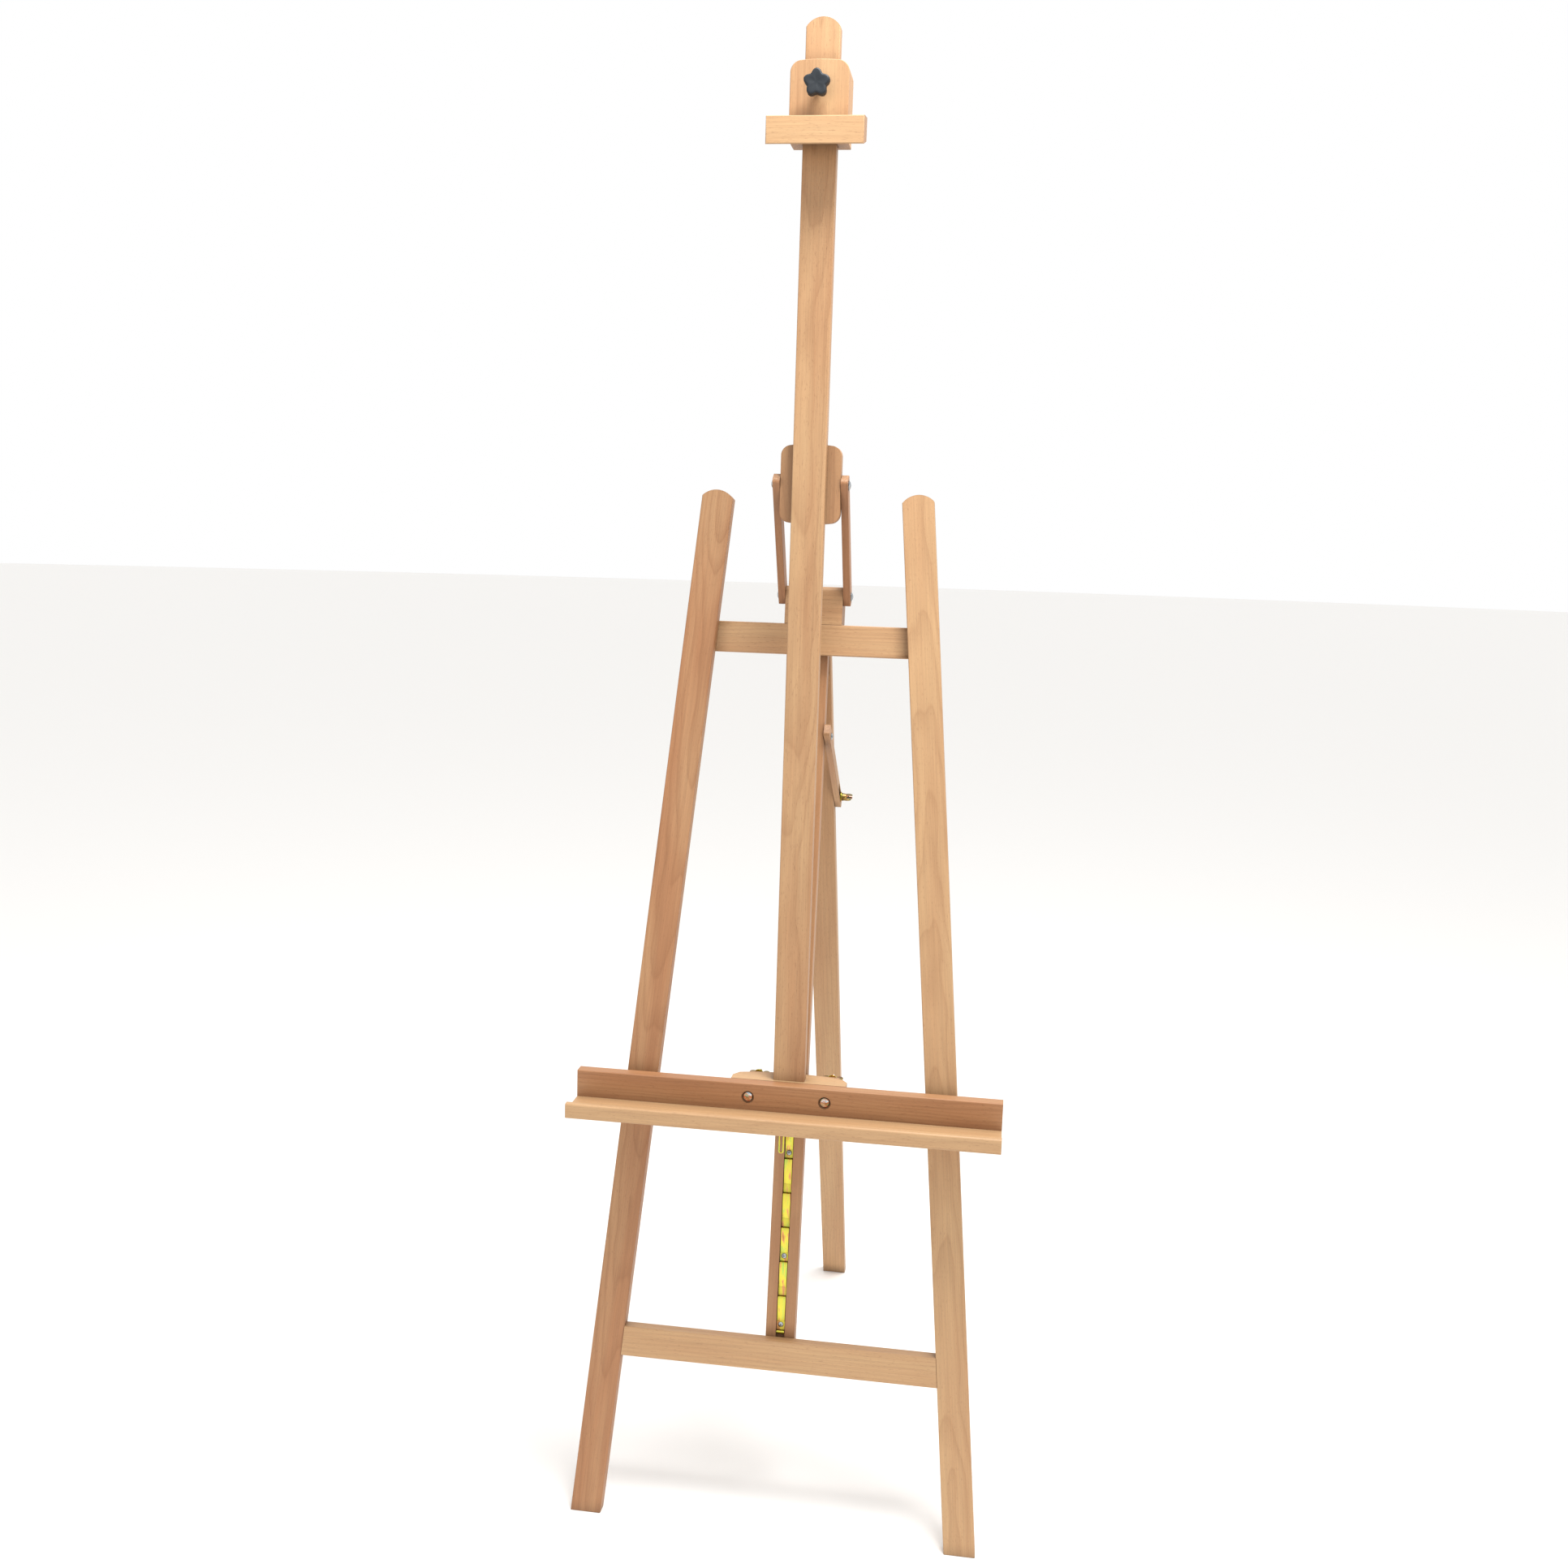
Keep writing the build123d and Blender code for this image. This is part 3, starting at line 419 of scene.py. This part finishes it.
for name, piece in woodPieces.items():
    thing = nodes[name]
    coat(thing, oiledBeech(name, piece))
    smoothFaces(thing.data)
    easeEdges(thing, piece["ease"])
print("wood done:", len(woodPieces), "pieces")


# Steel, zinc plated and yellow passivated: gold with drifting pink and green where the film's thickness changes
yellowZinc = {"gold": "#DCD052", "green": "#ACCB62", "rose": "#DE9A6A", "dull": "#B08A3E",
              "patch": (5, 5, 34), "roughness": 0.28, "grit": 0.35, "gritHeight": 0.01, "shade": 8,
              "stops": [(0.3, "green"), (0.44, "gold"), (0.56, "gold"), (0.64, "rose"), (0.75, "dull")]}
# The same film left thick on a pressed nut: bronze going to olive
bronzeZinc = {"gold": "#9C8448", "green": "#707A4A", "rose": "#8E5F42", "dull": "#5E5034", "patch": (5, 5, 5),
              "roughness": 0.34, "grit": 0.35, "gritHeight": 0.01, "shade": 5,
              "stops": [(0.3, "green"), (0.48, "gold"), (0.6, "rose"), (0.75, "dull")]}
# Steel, bright zinc plated: cool grey with fine drag lines from the tumbling barrel
brightZinc = {"light": "#C9CCCE", "dark": "#8F9498", "patch": (5, 5, 5), "roughness": 0.32, "grit": 0.3,
              "gritHeight": 0.008, "shade": 3, "stops": [(0.35, "dark"), (0.65, "light")]}
# Steel, zinc plated and thinly passivated, left as turned: silver that drifts to blue and rose, nearly a mirror
iridescentZinc = {"blue": "#7F9FB4", "silver": "#D9D6CC", "rose": "#D9886A", "green": "#9DB38A",
                  "patch": (6, 6, 6), "roughness": 0.16, "grit": 0.3, "gritHeight": 0.004, "shade": 3,
                  "stops": [(0.3, "blue"), (0.42, "silver"), (0.52, "rose"), (0.6, "green"), (0.72, "blue")]}
# Nylon knob, moulded in a spark eroded tool: near black with a blue cast and a fine matt skin
mouldedNylon = {"colour": "#0E171F", "worn": "#222E37", "ior": 1.5, "roughness": 0.55, "grit": 0.45,
                "gritHeight": 0.02}


def platedSteel(name, look):
    material, tree = newMaterial(name)
    coords = addNode(tree, "ShaderNodeTexCoord")
    point = addNode(tree, "ShaderNodeMapping", {"Vector": coords.outputs["Object"], "Scale": (1 / mm,) * 3})
    # the film's bands run up the rail, so the pattern turns with it before it is stretched
    drain = addNode(tree, "ShaderNodeMapping", {"Vector": coords.outputs["Object"],
                                               "Rotation": (-railLean, 0, 0),
                                               "Scale": [size * mm for size in look["patch"]]},
                    vector_type="TEXTURE")
    film = addNode(tree, "ShaderNodeTexNoise", {"Vector": drain.outputs["Vector"], "Scale": 1.0,
                                               "Detail": 2.0, "Distortion": 0.6})
    ramp = addNode(tree, "ShaderNodeValToRGB", {"Fac": film.outputs["Fac"]})
    setStops(ramp, [(place, linearColour(look[tint])) for place, tint in look["stops"]])
    grit = addNode(tree, "ShaderNodeTexNoise", {"Vector": point.outputs["Vector"], "Scale": 1 / look["grit"],
                                               "Detail": 2.0})
    gloss = addNode(tree, "ShaderNodeMapRange", {"Value": film.outputs["Fac"],
                                                "To Min": look["roughness"] - 0.08,
                                                "To Max": look["roughness"] + 0.12})
    bump = addNode(tree, "ShaderNodeBump", {"Strength": 0.5, "Distance": look["gritHeight"] * mm,
                                           "Height": grit.outputs["Fac"]})
    # painted shade: ambient occlusion darkens the film's colour in corners, creases and the gaps between the
    # strip's tongues
    crevice = addNode(tree, "ShaderNodeAmbientOcclusion", {"Color": ramp.outputs["Color"],
                                                          "Distance": look["shade"] * mm}, samples=8)
    shader = addNode(tree, "ShaderNodeBsdfPrincipled", {"Base Color": crevice.outputs["Color"], "Metallic": 1.0,
                                                       "Roughness": gloss.outputs["Result"],
                                                       "Normal": bump.outputs["Normal"]})
    addNode(tree, "ShaderNodeOutputMaterial", {"Surface": shader.outputs["BSDF"]})
    return material


def mouldedPlastic(name, look):
    material, tree = newMaterial(name)
    coords = addNode(tree, "ShaderNodeTexCoord")
    point = addNode(tree, "ShaderNodeMapping", {"Vector": coords.outputs["Object"], "Scale": (1 / mm,) * 3})
    skin = addNode(tree, "ShaderNodeTexNoise", {"Vector": point.outputs["Vector"], "Scale": 1 / look["grit"],
                                               "Detail": 2.0})
    rub = addNode(tree, "ShaderNodeTexNoise", {"Vector": point.outputs["Vector"], "Scale": 1 / 6,
                                              "Detail": 3.0})
    corner = addNode(tree, "ShaderNodeBevel", {"Radius": 1.5 * mm}, samples=4)
    geometry = addNode(tree, "ShaderNodeNewGeometry")
    match = addNode(tree, "ShaderNodeVectorMath", {0: corner.outputs["Normal"], 1: geometry.outputs["Normal"]},
                    operation="DOT_PRODUCT")
    worn = addNode(tree, "ShaderNodeMapRange", {"Value": match.outputs["Value"], "From Min": 0.99,
                                               "From Max": 0.9, "To Max": 0.8})
    patchy = addNode(tree, "ShaderNodeMath", {0: worn.outputs["Result"], 1: rub.outputs["Fac"]},
                     operation="MULTIPLY")
    colour = addNode(tree, "ShaderNodeMix", {0: patchy.outputs[0], 6: linearColour(look["colour"]),
                                            7: linearColour(look["worn"])}, data_type="RGBA")
    gloss = addNode(tree, "ShaderNodeMapRange", {"Value": rub.outputs["Fac"],
                                                "To Min": look["roughness"] - 0.07,
                                                "To Max": look["roughness"] + 0.1})
    bump = addNode(tree, "ShaderNodeBump", {"Strength": 0.6, "Distance": look["gritHeight"] * mm,
                                           "Height": skin.outputs["Fac"]})
    shader = addNode(tree, "ShaderNodeBsdfPrincipled", {"Base Color": colour.outputs[2], "IOR": look["ior"],
                                                       "Roughness": gloss.outputs["Result"],
                                                       "Normal": bump.outputs["Normal"]})
    addNode(tree, "ShaderNodeOutputMaterial", {"Surface": shader.outputs["BSDF"]})
    return material


passivated = platedSteel("yellowPassivatedZinc", yellowZinc)
bronze = platedSteel("bronzePassivatedZinc", bronzeZinc)
bright = platedSteel("brightTumbledZinc", brightZinc)
iridescent = platedSteel("iridescentTurnedZinc", iridescentZinc)
nylon = mouldedPlastic("matteMouldedNylon", mouldedNylon)
slotMaterial = {"yellow_zinc": passivated, "bright_zinc": bright, "knob_plastic": nylon}


# ratchet strip: steel tape with a tongue pressed out below every stop, its top edge turned over by lip
strip = {"pitch": 51, "first": 52.6, "count": 12, "tongue": 38, "rise": 3.3, "low": 46,
         "margin": 30, "face": 3.5, "sheet": 1.4, "width": 12, "tongueWidth": 11.6,
         "screwTeeth": (0, 2, 5, 8, 10),
         "screwRise": 8, "lip": 2.2}
rise, thickness = easel["lowerBar"], easel["legThickness"]
railFoot = (0, rise * math.sin(lean) + thickness * math.cos(lean) + easel["middle"],
            rise * math.cos(lean) - thickness * math.sin(lean))
# in the rail's own axes Z runs up the rail and Y goes into it
railPlace = Matrix.Translation(Vector(railFoot) * mm) @ Matrix.Rotation(-railLean, 4, "X")


def bentTape(bm, line, half, sheet):
    # a tape of even thickness along a (depth, height) line, its edges at -half and half
    rows = []
    for i, (depth, height) in enumerate(line):
        before = Vector(line[max(0, i - 1)])
        after = Vector(line[min(len(line) - 1, i + 1)])
        run = (after - before).normalized()
        inward = Vector((run.y, -run.x)) * sheet
        rows.append([bm.verts.new((x, d, h)) for x, d, h in (
            (-half, depth, height), (half, depth, height),
            (half, depth + inward.x, height + inward.y), (-half, depth + inward.x, height + inward.y))])
    for low, high in zip(rows, rows[1:]):
        for i in range(4):
            bm.faces.new((low[i], low[(i + 1) % 4], high[(i + 1) % 4], high[i]))
    bm.faces.new(rows[0][::-1])
    bm.faces.new(rows[-1])


def ratchetStrip():
    bm = bmesh.new()
    top = strip["first"] + (strip["count"] - 1) * strip["pitch"] + strip["margin"]
    face = strip["face"]
    half = strip["width"] / 2
    lip = strip["lip"]
    backSet = 0.3       # the tape lies on the groove's floor, a little behind the tongues
    bentTape(bm, [(face + backSet, strip["low"]), (face + backSet, top)], half, strip["sheet"] - backSet)
    for tooth in range(strip["count"]):
        stop = strip["first"] + tooth * strip["pitch"]
        start = max(stop - strip["tongue"], strip["low"] + 0.5)
        run = stop - start
        line = []
        for i in range(13):
            t = i / 12
            swell = 1 - (1 - t) ** 2.2
            line.append((face - strip["rise"] * swell, start + (run - lip) * t))
        # the top edge is turned over and back towards the tape
        for i in range(1, 7):
            a = math.pi / 2 * i / 6
            line.append((face - strip["rise"] + 1.9 * (1 - math.cos(a)), stop - lip + 2.1 * math.sin(a)))
        line.append((face - 0.2, stop - 0.1))
        bentTape(bm, line, strip["tongueWidth"] / 2, strip["sheet"])
    thing = finishMesh("ratchetStrip", bm, railPlace, 40)
    bevel = thing.modifiers.new("sheared", "BEVEL")
    bevel.width = 0.25 * mm
    bevel.segments = 2
    bevel.angle_limit = math.radians(50)
    return thing


useMesh(ratchetStrip(), passivated, "ratchet_strip")


def crossRecess(bm, reach, depth, top):
    # the tool's cross, as two tapered slots to be cut out of a screw head
    for turn in (0, math.pi / 2):
        corners = []
        for height, length, width in ((top + 0.4, reach, reach * 0.3), (top - depth, reach * 0.35, reach * 0.16)):
            for x, y in ((-length, -width), (length, -width), (length, width), (-length, width)):
                corners.append(bm.verts.new((x * math.cos(turn) - y * math.sin(turn),
                                             x * math.sin(turn) + y * math.cos(turn), height)))
        for face in ((0, 1, 2, 3), (7, 6, 5, 4), (0, 4, 5, 1), (1, 5, 6, 2), (2, 6, 7, 3), (3, 7, 4, 0)):
            bm.faces.new([corners[i] for i in face])


def screwWithRecess(name, profile, places, reach, depth, top):
    # profile is turned round Z, head upwards, one copy at every place, with the cross cut out of each
    bm = bmesh.new()
    turned(bm, profile, 32)
    source = bmesh.new()
    crossRecess(source, reach, depth, top)
    head = finishMesh(name, bm, Matrix.Identity(4), 35)
    cutter = finishMesh(name + "Cutter", source, Matrix.Identity(4), 35)
    cut = head.modifiers.new("recess", "BOOLEAN")
    cut.operation = "DIFFERENCE"
    cut.object = cutter
    cut.solver = "EXACT"
    cut.use_self = True
    bpy.context.view_layer.update()
    shaped = bpy.data.meshes.new_from_object(head.evaluated_get(bpy.context.evaluated_depsgraph_get()))
    joined = bmesh.new()
    for place in places:
        copy = shaped.copy()
        copy.transform(place)
        joined.from_mesh(copy)
        bpy.data.meshes.remove(copy)
    bpy.data.objects.remove(head)
    bpy.data.objects.remove(cutter)
    mesh = bpy.data.meshes.new(name)
    joined.to_mesh(mesh)
    joined.free()
    thing = bpy.data.objects.new(name, mesh)
    bpy.context.scene.collection.objects.link(thing)
    smoothFaces(mesh)
    mesh.set_sharp_from_angle(angle=math.radians(35))
    return thing


# round headed screws that hold the strip
stripScrew = {"radius": 3.8, "rise": 1.6, "rim": 0.3, "shank": 1.5, "length": 12, "reach": 1.9, "recess": 1.1}
stripPlaces = []
for tooth in strip["screwTeeth"]:
    seat = Vector((0, strip["face"], strip["first"] + tooth * strip["pitch"] + strip["screwRise"]))
    stripPlaces.append(railPlace @ Matrix.Translation(seat * mm) @ Matrix.Rotation(math.pi / 2, 4, "X") @
                       Matrix.Rotation(rng.uniform(0, math.pi), 4, "Z"))
profile = domeProfile(stripScrew["radius"], stripScrew["rise"], stripScrew["rim"])
profile += [(stripScrew["shank"], 0), (stripScrew["shank"], -stripScrew["length"] + 2),
            (0, -stripScrew["length"])]
useMesh(screwWithRecess("stripScrews", profile, stripPlaces, stripScrew["reach"], stripScrew["recess"],
                        stripScrew["rise"]), bright, "strip_screws")

# countersunk screws: four through the upper crossbar and two up into the mast
woodScrew = {"radius": 4.2, "sink": 2.4, "shank": 2, "point": 4, "reach": 2.4, "recess": 1.6, "spread": 11,
             "barDepth": 38, "barLength": 31, "mastDepth": 64, "mastStart": 660, "mastLength": 45}


def countersunk(length):
    return [(0, 0), (woodScrew["radius"] - 0.25, 0), (woodScrew["radius"], -0.15),
            (woodScrew["shank"], -woodScrew["sink"]), (woodScrew["shank"], woodScrew["point"] - length),
            (0, -length)]


spread = woodScrew["spread"]
screwPlaces = []
framePlace = Matrix.Translation(Vector((0, easel["middle"], 0)) * mm) @ Matrix.Rotation(-lean, 4, "X")
for side in (-1, 1):
    for rise in (-spread, spread):
        # the upper screw of each pair is a little nearer the middle, as the leg is
        x = side * (easel["footReach"] - legSpread * easel["upperBar"] / easel["legRise"] - rise / spread)
        seat = Vector((x, woodScrew["barDepth"], easel["upperBar"] + rise))
        screwPlaces.append(framePlace @ Matrix.Translation(seat * mm) @
                           Matrix.Rotation(-math.pi / 2, 4, "X") @ Matrix.Rotation(rng.uniform(0, 3), 4, "Z"))
useMesh(screwWithRecess("crossbarScrews", countersunk(woodScrew["barLength"]), screwPlaces, woodScrew["reach"],
                        woodScrew["recess"], 0), bright, "upper_crossbar_screws")
mastPlaces = []
for x in (-spread, spread):
    seat = Vector((x, woodScrew["mastDepth"] + easel["middle"], woodScrew["mastStart"]))
    mastPlaces.append(Matrix.Translation(seat * mm) @ Matrix.Rotation(math.pi, 4, "X"))
useMesh(screwWithRecess("mastScrews", countersunk(woodScrew["mastLength"]), mastPlaces, woodScrew["reach"],
                        woodScrew["recess"], 0), bright, "mast_screws")
print("ratchet strip and screws done")


# domed bolts with a cut thread at the far end
bolt = {"headRadius": 7.4, "rise": 3.5, "rim": 0.5, "shank": 3, "pitch": 1.0, "trayThread": 34,
        "stayThread": 26}


def domedBolt(name, head, rise, shank, length, threadLength, place):
    bm = bmesh.new()
    plain = length - threadLength
    turned(bm, domeProfile(head, rise, bolt["rim"], 14) + [(shank, 0), (shank, -plain), (0, -plain)], 56)
    if threadLength:
        threaded(bm, shank, bolt["pitch"], -length, -plain + 0.2)
    return finishMesh(name, bm, place, 35)


for node in ("tray_bolt_left", "tray_bolt_right"):
    low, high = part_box(node)
    seat = ((low.x + high.x) / 2, low.y + bolt["rise"] * mm, (low.z + high.z) / 2)
    useMesh(domedBolt(node + "Turned", bolt["headRadius"], bolt["rise"], bolt["shank"],
                      (high.y - low.y) / mm - bolt["rise"], bolt["trayThread"], axisFrame(seat, (0, -1, 0))),
            iridescent, node)
low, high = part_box("stay_bolt")
seat = (low.x + bolt["rise"] * mm, (low.y + high.y) / 2, (low.z + high.z) / 2)
useMesh(domedBolt("stayBolt", bolt["headRadius"], bolt["rise"], bolt["shank"],
                  (high.x - low.x) / mm - bolt["rise"], bolt["stayThread"],
                  axisFrame(seat, (-1, 0, 0), (0, 1, 0))), iridescent, "stay_bolt")

# pivot screws of the arms and of the stay, domed, with a cross in the head: side, head radius, rise and shank
pivots = {"arm_head_bolt_left": (-1, 6.5, 3, 3), "arm_head_bolt_right": (1, 6.5, 3, 3),
          "arm_foot_bolt_left": (-1, 6.5, 3, 3), "arm_foot_bolt_right": (1, 6.5, 3, 3),
          "stay_screw": (1, 5, 2.5, 2.5)}
pivotTip = {"length": 1.5, "taper": 1.2, "reach": 2.6, "recess": 1.8}
for node, (side, radius, rise, shank) in pivots.items():
    low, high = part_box(node)
    outer = high.x if side > 0 else low.x
    seat = (outer - side * rise * mm, (low.y + high.y) / 2, (low.z + high.z) / 2)
    length = (high.x - low.x) / mm - rise
    profile = domeProfile(radius, rise, bolt["rim"])
    profile += [(shank, 0), (shank, pivotTip["length"] - length), (shank - pivotTip["taper"], -length),
                (0, -length)]
    place = axisFrame(seat, (side, 0, 0), (0, 1, 0)) @ Matrix.Rotation(rng.uniform(0, 3), 4, "Z")
    useMesh(screwWithRecess(node + "Turned", profile, [place], pivotTip["reach"], pivotTip["recess"], rise),
            bright, node)

# plain threaded rods of the two knobs
for node in ("paddle_screw", "clamp_screw"):
    low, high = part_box(node)
    bm = bmesh.new()
    threaded(bm, bolt["shank"], bolt["pitch"], 0, (high.y - low.y) / mm)
    seat = ((low.x + high.x) / 2, low.y, (low.z + high.z) / 2)
    useMesh(finishMesh(node + "Cut", bm, axisFrame(seat, (0, 1, 0)), 40), bright, node)

# wing nuts: hot pressed, so a round hub runs into the wings with a soft root
wing = {"bore": 3.05, "hub": [(6.1, 0), (6.2, 0.4), (5.9, 3), (5.2, 7.6), (4.8, 8.4), (3.6, 8.5)],
        "boreTop": 8.2, "middle": (10, 9.2), "reach": (5.2, 6.7), "rimHalf": 0.75, "waistHalf": 1.15, "waistShare": 0.82,
        "points": 24, "blend": 0.35, "stayTurn": 100}


def wingNut(name, place):
    bm = bmesh.new()
    bore, count, share = wing["bore"], wing["points"], wing["waistShare"]
    turned(bm, [(bore, 0)] + wing["hub"] + [(bore, wing["boreTop"]), (bore, 0)], 48)
    outward, height = wing["middle"]
    for side in (-1, 1):
        # outline of one wing, an oval beside the hub
        middle = side * outward
        outline = []
        for i in range(count):
            a = 2 * math.pi * i / count
            outline.append((side * (outward + wing["reach"][0] * math.cos(a)),
                            height + wing["reach"][1] * math.sin(a)))
        rims = []
        for y in (-1, 1):
            rim = [bm.verts.new((x, y * wing["rimHalf"], z)) for x, z in outline]
            waist = [bm.verts.new((middle + (x - middle) * share, y * wing["waistHalf"],
                                   height + (z - height) * share)) for x, z in outline]
            for i in range(count):
                j = (i + 1) % count
                bm.faces.new((rim[i], rim[j], waist[j], waist[i]))
            bm.faces.new(waist)
            rims.append(rim)
        for i in range(count):
            j = (i + 1) % count
            bm.faces.new((rims[0][i], rims[0][j], rims[1][j], rims[1][i]))
    thing = finishMesh(name, bm, place, 60)
    soft = thing.modifiers.new("pressed", "REMESH")
    soft.mode = "VOXEL"
    soft.voxel_size = wing["blend"] * mm
    soft.use_smooth_shade = True
    ease = thing.modifiers.new("ease", "SMOOTH")
    ease.factor = 0.5
    ease.iterations = 4
    return thing


for node in ("tray_wing_nut_left", "tray_wing_nut_right", "stay_wing_nut"):
    low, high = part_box(node)
    if node == "stay_wing_nut":
        seat = (low.x, (low.y + high.y) / 2, (low.z + high.z) / 2)
        stayTurn = math.radians(wing["stayTurn"])
        place = axisFrame(seat, (1, 0, 0), (0, math.sin(stayTurn), -math.cos(stayTurn)))
    else:
        place = axisFrame(((low.x + high.x) / 2, low.y, (low.z + high.z) / 2), (0, 1, 0))
    useMesh(wingNut(node + "Pressed", place), bronze, node)
print("bolts and nuts done")


# five lobed knob with a dished face, a moulded seam and a flanged neck
knob = {"lobes": 5, "lobeReach": 17.4, "waist": 13.1, "thick": 13, "neck": 8, "neckLength": 8, "round": 2.6,
        "dish": 0.9, "steps": 160, "seamHalf": 0.35, "seamProud": 0.12,
        "clampHeight": 2.012, "paddleHeight": 1.513}


def starKnob(name, place):
    bm = bmesh.new()

    def reach(angle, inset):
        wave = 0.5 + 0.5 * math.cos(knob["lobes"] * (angle - math.pi / 2))
        wave = wave ** 0.85
        return knob["waist"] + (knob["lobeReach"] - knob["waist"]) * wave - inset

    # (inset, height) up the side: lower rounding, seam, upper rounding
    seam = knob["thick"] * 0.5
    profile = [(0.9, 0.0), (0.25, 0.9), (0, 2.2), (0, seam - knob["seamHalf"]), (-knob["seamProud"], seam),
               (0, seam + knob["seamHalf"])]
    for i in range(7):
        a = math.pi / 2 * i / 6
        profile.append((knob["round"] * (1 - math.cos(a)), knob["thick"] - knob["round"] * (1 - math.sin(a))))
    angles = [2 * math.pi * i / knob["steps"] for i in range(knob["steps"])]
    rings = []
    for inset, height in profile:
        rings.append([bm.verts.new((reach(a, inset) * math.cos(a), reach(a, inset) * math.sin(a),
                                    knob["neckLength"] + height)) for a in angles])
    # dished top face, falling a little to the middle
    for t in (0.8, 0.6, 0.4, 0.2):
        fall = knob["dish"] * (1 - t) ** 1.5
        rings.append([bm.verts.new((v.co.x * t, v.co.y * t, knob["neckLength"] + knob["thick"] - fall))
                      for v in rings[len(profile) - 1]])
    for low, high in zip(rings, rings[1:]):
        for i in range(knob["steps"]):
            j = (i + 1) % knob["steps"]
            bm.faces.new((low[i], low[j], high[j], high[i]))
    bm.faces.new(rings[-1])
    bm.faces.new(rings[0][::-1])
    # neck with a small flange at its foot
    turned(bm, [(0, 0), (knob["neck"] - 0.4, 0), (knob["neck"], 0.4), (knob["neck"], 1.8),
                (knob["neck"] - 0.6, 2.4), (knob["neck"] - 0.3, knob["neckLength"] + 0.5),
                (0, knob["neckLength"] + 0.5)], 64)
    return finishMesh(name, bm, place, 38)


low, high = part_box("clamp_knob")
useMesh(starKnob("clampKnobMoulded", axisFrame(((low.x + high.x) / 2, high.y, knob["clampHeight"]),
                                               (0, -1, 0))),
        nylon, "clamp_knob")
low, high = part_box("paddle_knob")
useMesh(starKnob("paddleKnobMoulded", axisFrame(((low.x + high.x) / 2, low.y, knob["paddleHeight"]),
                                                (0, 1, 0), (-1, 0, 0))),
        nylon, "paddle_knob")

# the rest of the hardware keeps its shape and gets eased edges
smallMetal = {"tray_washer_left": 0.3, "tray_washer_right": 0.3, "stay_washer": 0.3, "pawl": 0.4, "pawl_pin": 0.4,
              "release_loop": 0.0, "hinge_fixed_leaf": 0.3, "hinge_moving_leaf": 0.3, "hinge_pin": 0.3,
              "clamp_insert": 0.2}
for name, ease in smallMetal.items():
    thing = nodes[name]
    coat(thing, slotMaterial[slotOf[name]])
    smoothFaces(thing.data)
    easeEdges(thing, ease)
print("knobs and small metal done")


studio = {"floor": "#F6F4F1", "floorSize": 60, "sky": "#FFFFFF", "skyStrength": 1.0, "keyPower": 85,
          "keySize": 0.9, "keyPlace": (0.55, -0.95, 3.4), "fillPower": 6, "fillSize": 3.0,
          "fillPlace": (2.6, -3.2, 2.0), "lens": 35.43, "film": 36,
          "stand": (0.27694, -2.46424, 1.42733), "yaw": 0.140429, "pitch": -0.152192, "roll": 0.031486}


def floorMaterial():
    # painted board: matt white with a trace of roller texture
    material, tree = newMaterial("paintedFloor")
    coords = addNode(tree, "ShaderNodeTexCoord")
    roller = addNode(tree, "ShaderNodeTexNoise", {"Vector": coords.outputs["Object"], "Scale": 180.0,
                                                 "Detail": 2.0})
    bump = addNode(tree, "ShaderNodeBump", {"Strength": 0.1, "Distance": 0.0002, "Height": roller.outputs["Fac"]})
    shader = addNode(tree, "ShaderNodeBsdfPrincipled", {"Base Color": linearColour(studio["floor"]),
                                                       "Roughness": 0.8, "Normal": bump.outputs["Normal"]})
    addNode(tree, "ShaderNodeOutputMaterial", {"Surface": shader.outputs["BSDF"]})
    return material


bm = bmesh.new()
bmesh.ops.create_circle(bm, cap_ends=True, radius=studio["floorSize"], segments=96)
floorMesh = bpy.data.meshes.new("floor")
bm.to_mesh(floorMesh)
bm.free()
floor = bpy.data.objects.new("floor", floorMesh)
floor.location = (0, 0, -0.0005)
floorMesh.materials.append(floorMaterial())
bpy.context.scene.collection.objects.link(floor)

world = bpy.data.worlds.new("paleRoom")
bpy.context.scene.world = world
world.use_nodes = True
world.node_tree.nodes.clear()
sky = addNode(world.node_tree, "ShaderNodeBackground", {"Color": linearColour(studio["sky"]),
                                                       "Strength": studio["skyStrength"]})
addNode(world.node_tree, "ShaderNodeOutputWorld", {"Surface": sky.outputs["Background"]})


def softLight(name, place, size, power, aim):
    light = bpy.data.lights.new(name, "AREA")
    light.shape = "SQUARE"
    light.size = size
    light.energy = power
    lamp = bpy.data.objects.new(name, light)
    lamp.location = place
    lamp.rotation_euler = (Vector(aim) - Vector(place)).to_track_quat("-Z", "Y").to_euler()
    bpy.context.scene.collection.objects.link(lamp)
    return lamp


softLight("keyBox", studio["keyPlace"], studio["keySize"], studio["keyPower"], (0, 0, 1.1))
softLight("fillBox", studio["fillPlace"], studio["fillSize"], studio["fillPower"], (0, 0, 1.0))

# camera at standing height, a step to the right of the easel, looking slightly down
yaw, pitch, roll = studio["yaw"], studio["pitch"], studio["roll"]
forward = Vector((-math.sin(yaw) * math.cos(pitch), math.cos(yaw) * math.cos(pitch), math.sin(pitch)))
right = forward.cross(Vector((0, 0, 1))).normalized()
above = right.cross(forward)
tiltedRight = right * math.cos(roll) + above * math.sin(roll)
tiltedUp = above * math.cos(roll) - right * math.sin(roll)
turn = Matrix((tiltedRight, tiltedUp, -forward)).transposed().to_4x4()
cameraData = bpy.data.cameras.new("camera")
cameraData.lens = studio["lens"]
cameraData.sensor_width = studio["film"]
camera = bpy.data.objects.new("camera", cameraData)
camera.matrix_world = Matrix.Translation(Vector(studio["stand"])) @ turn
bpy.context.scene.collection.objects.link(camera)
bpy.context.scene.camera = camera
bpy.context.scene.view_settings.view_transform = "Standard"
print("studio done")
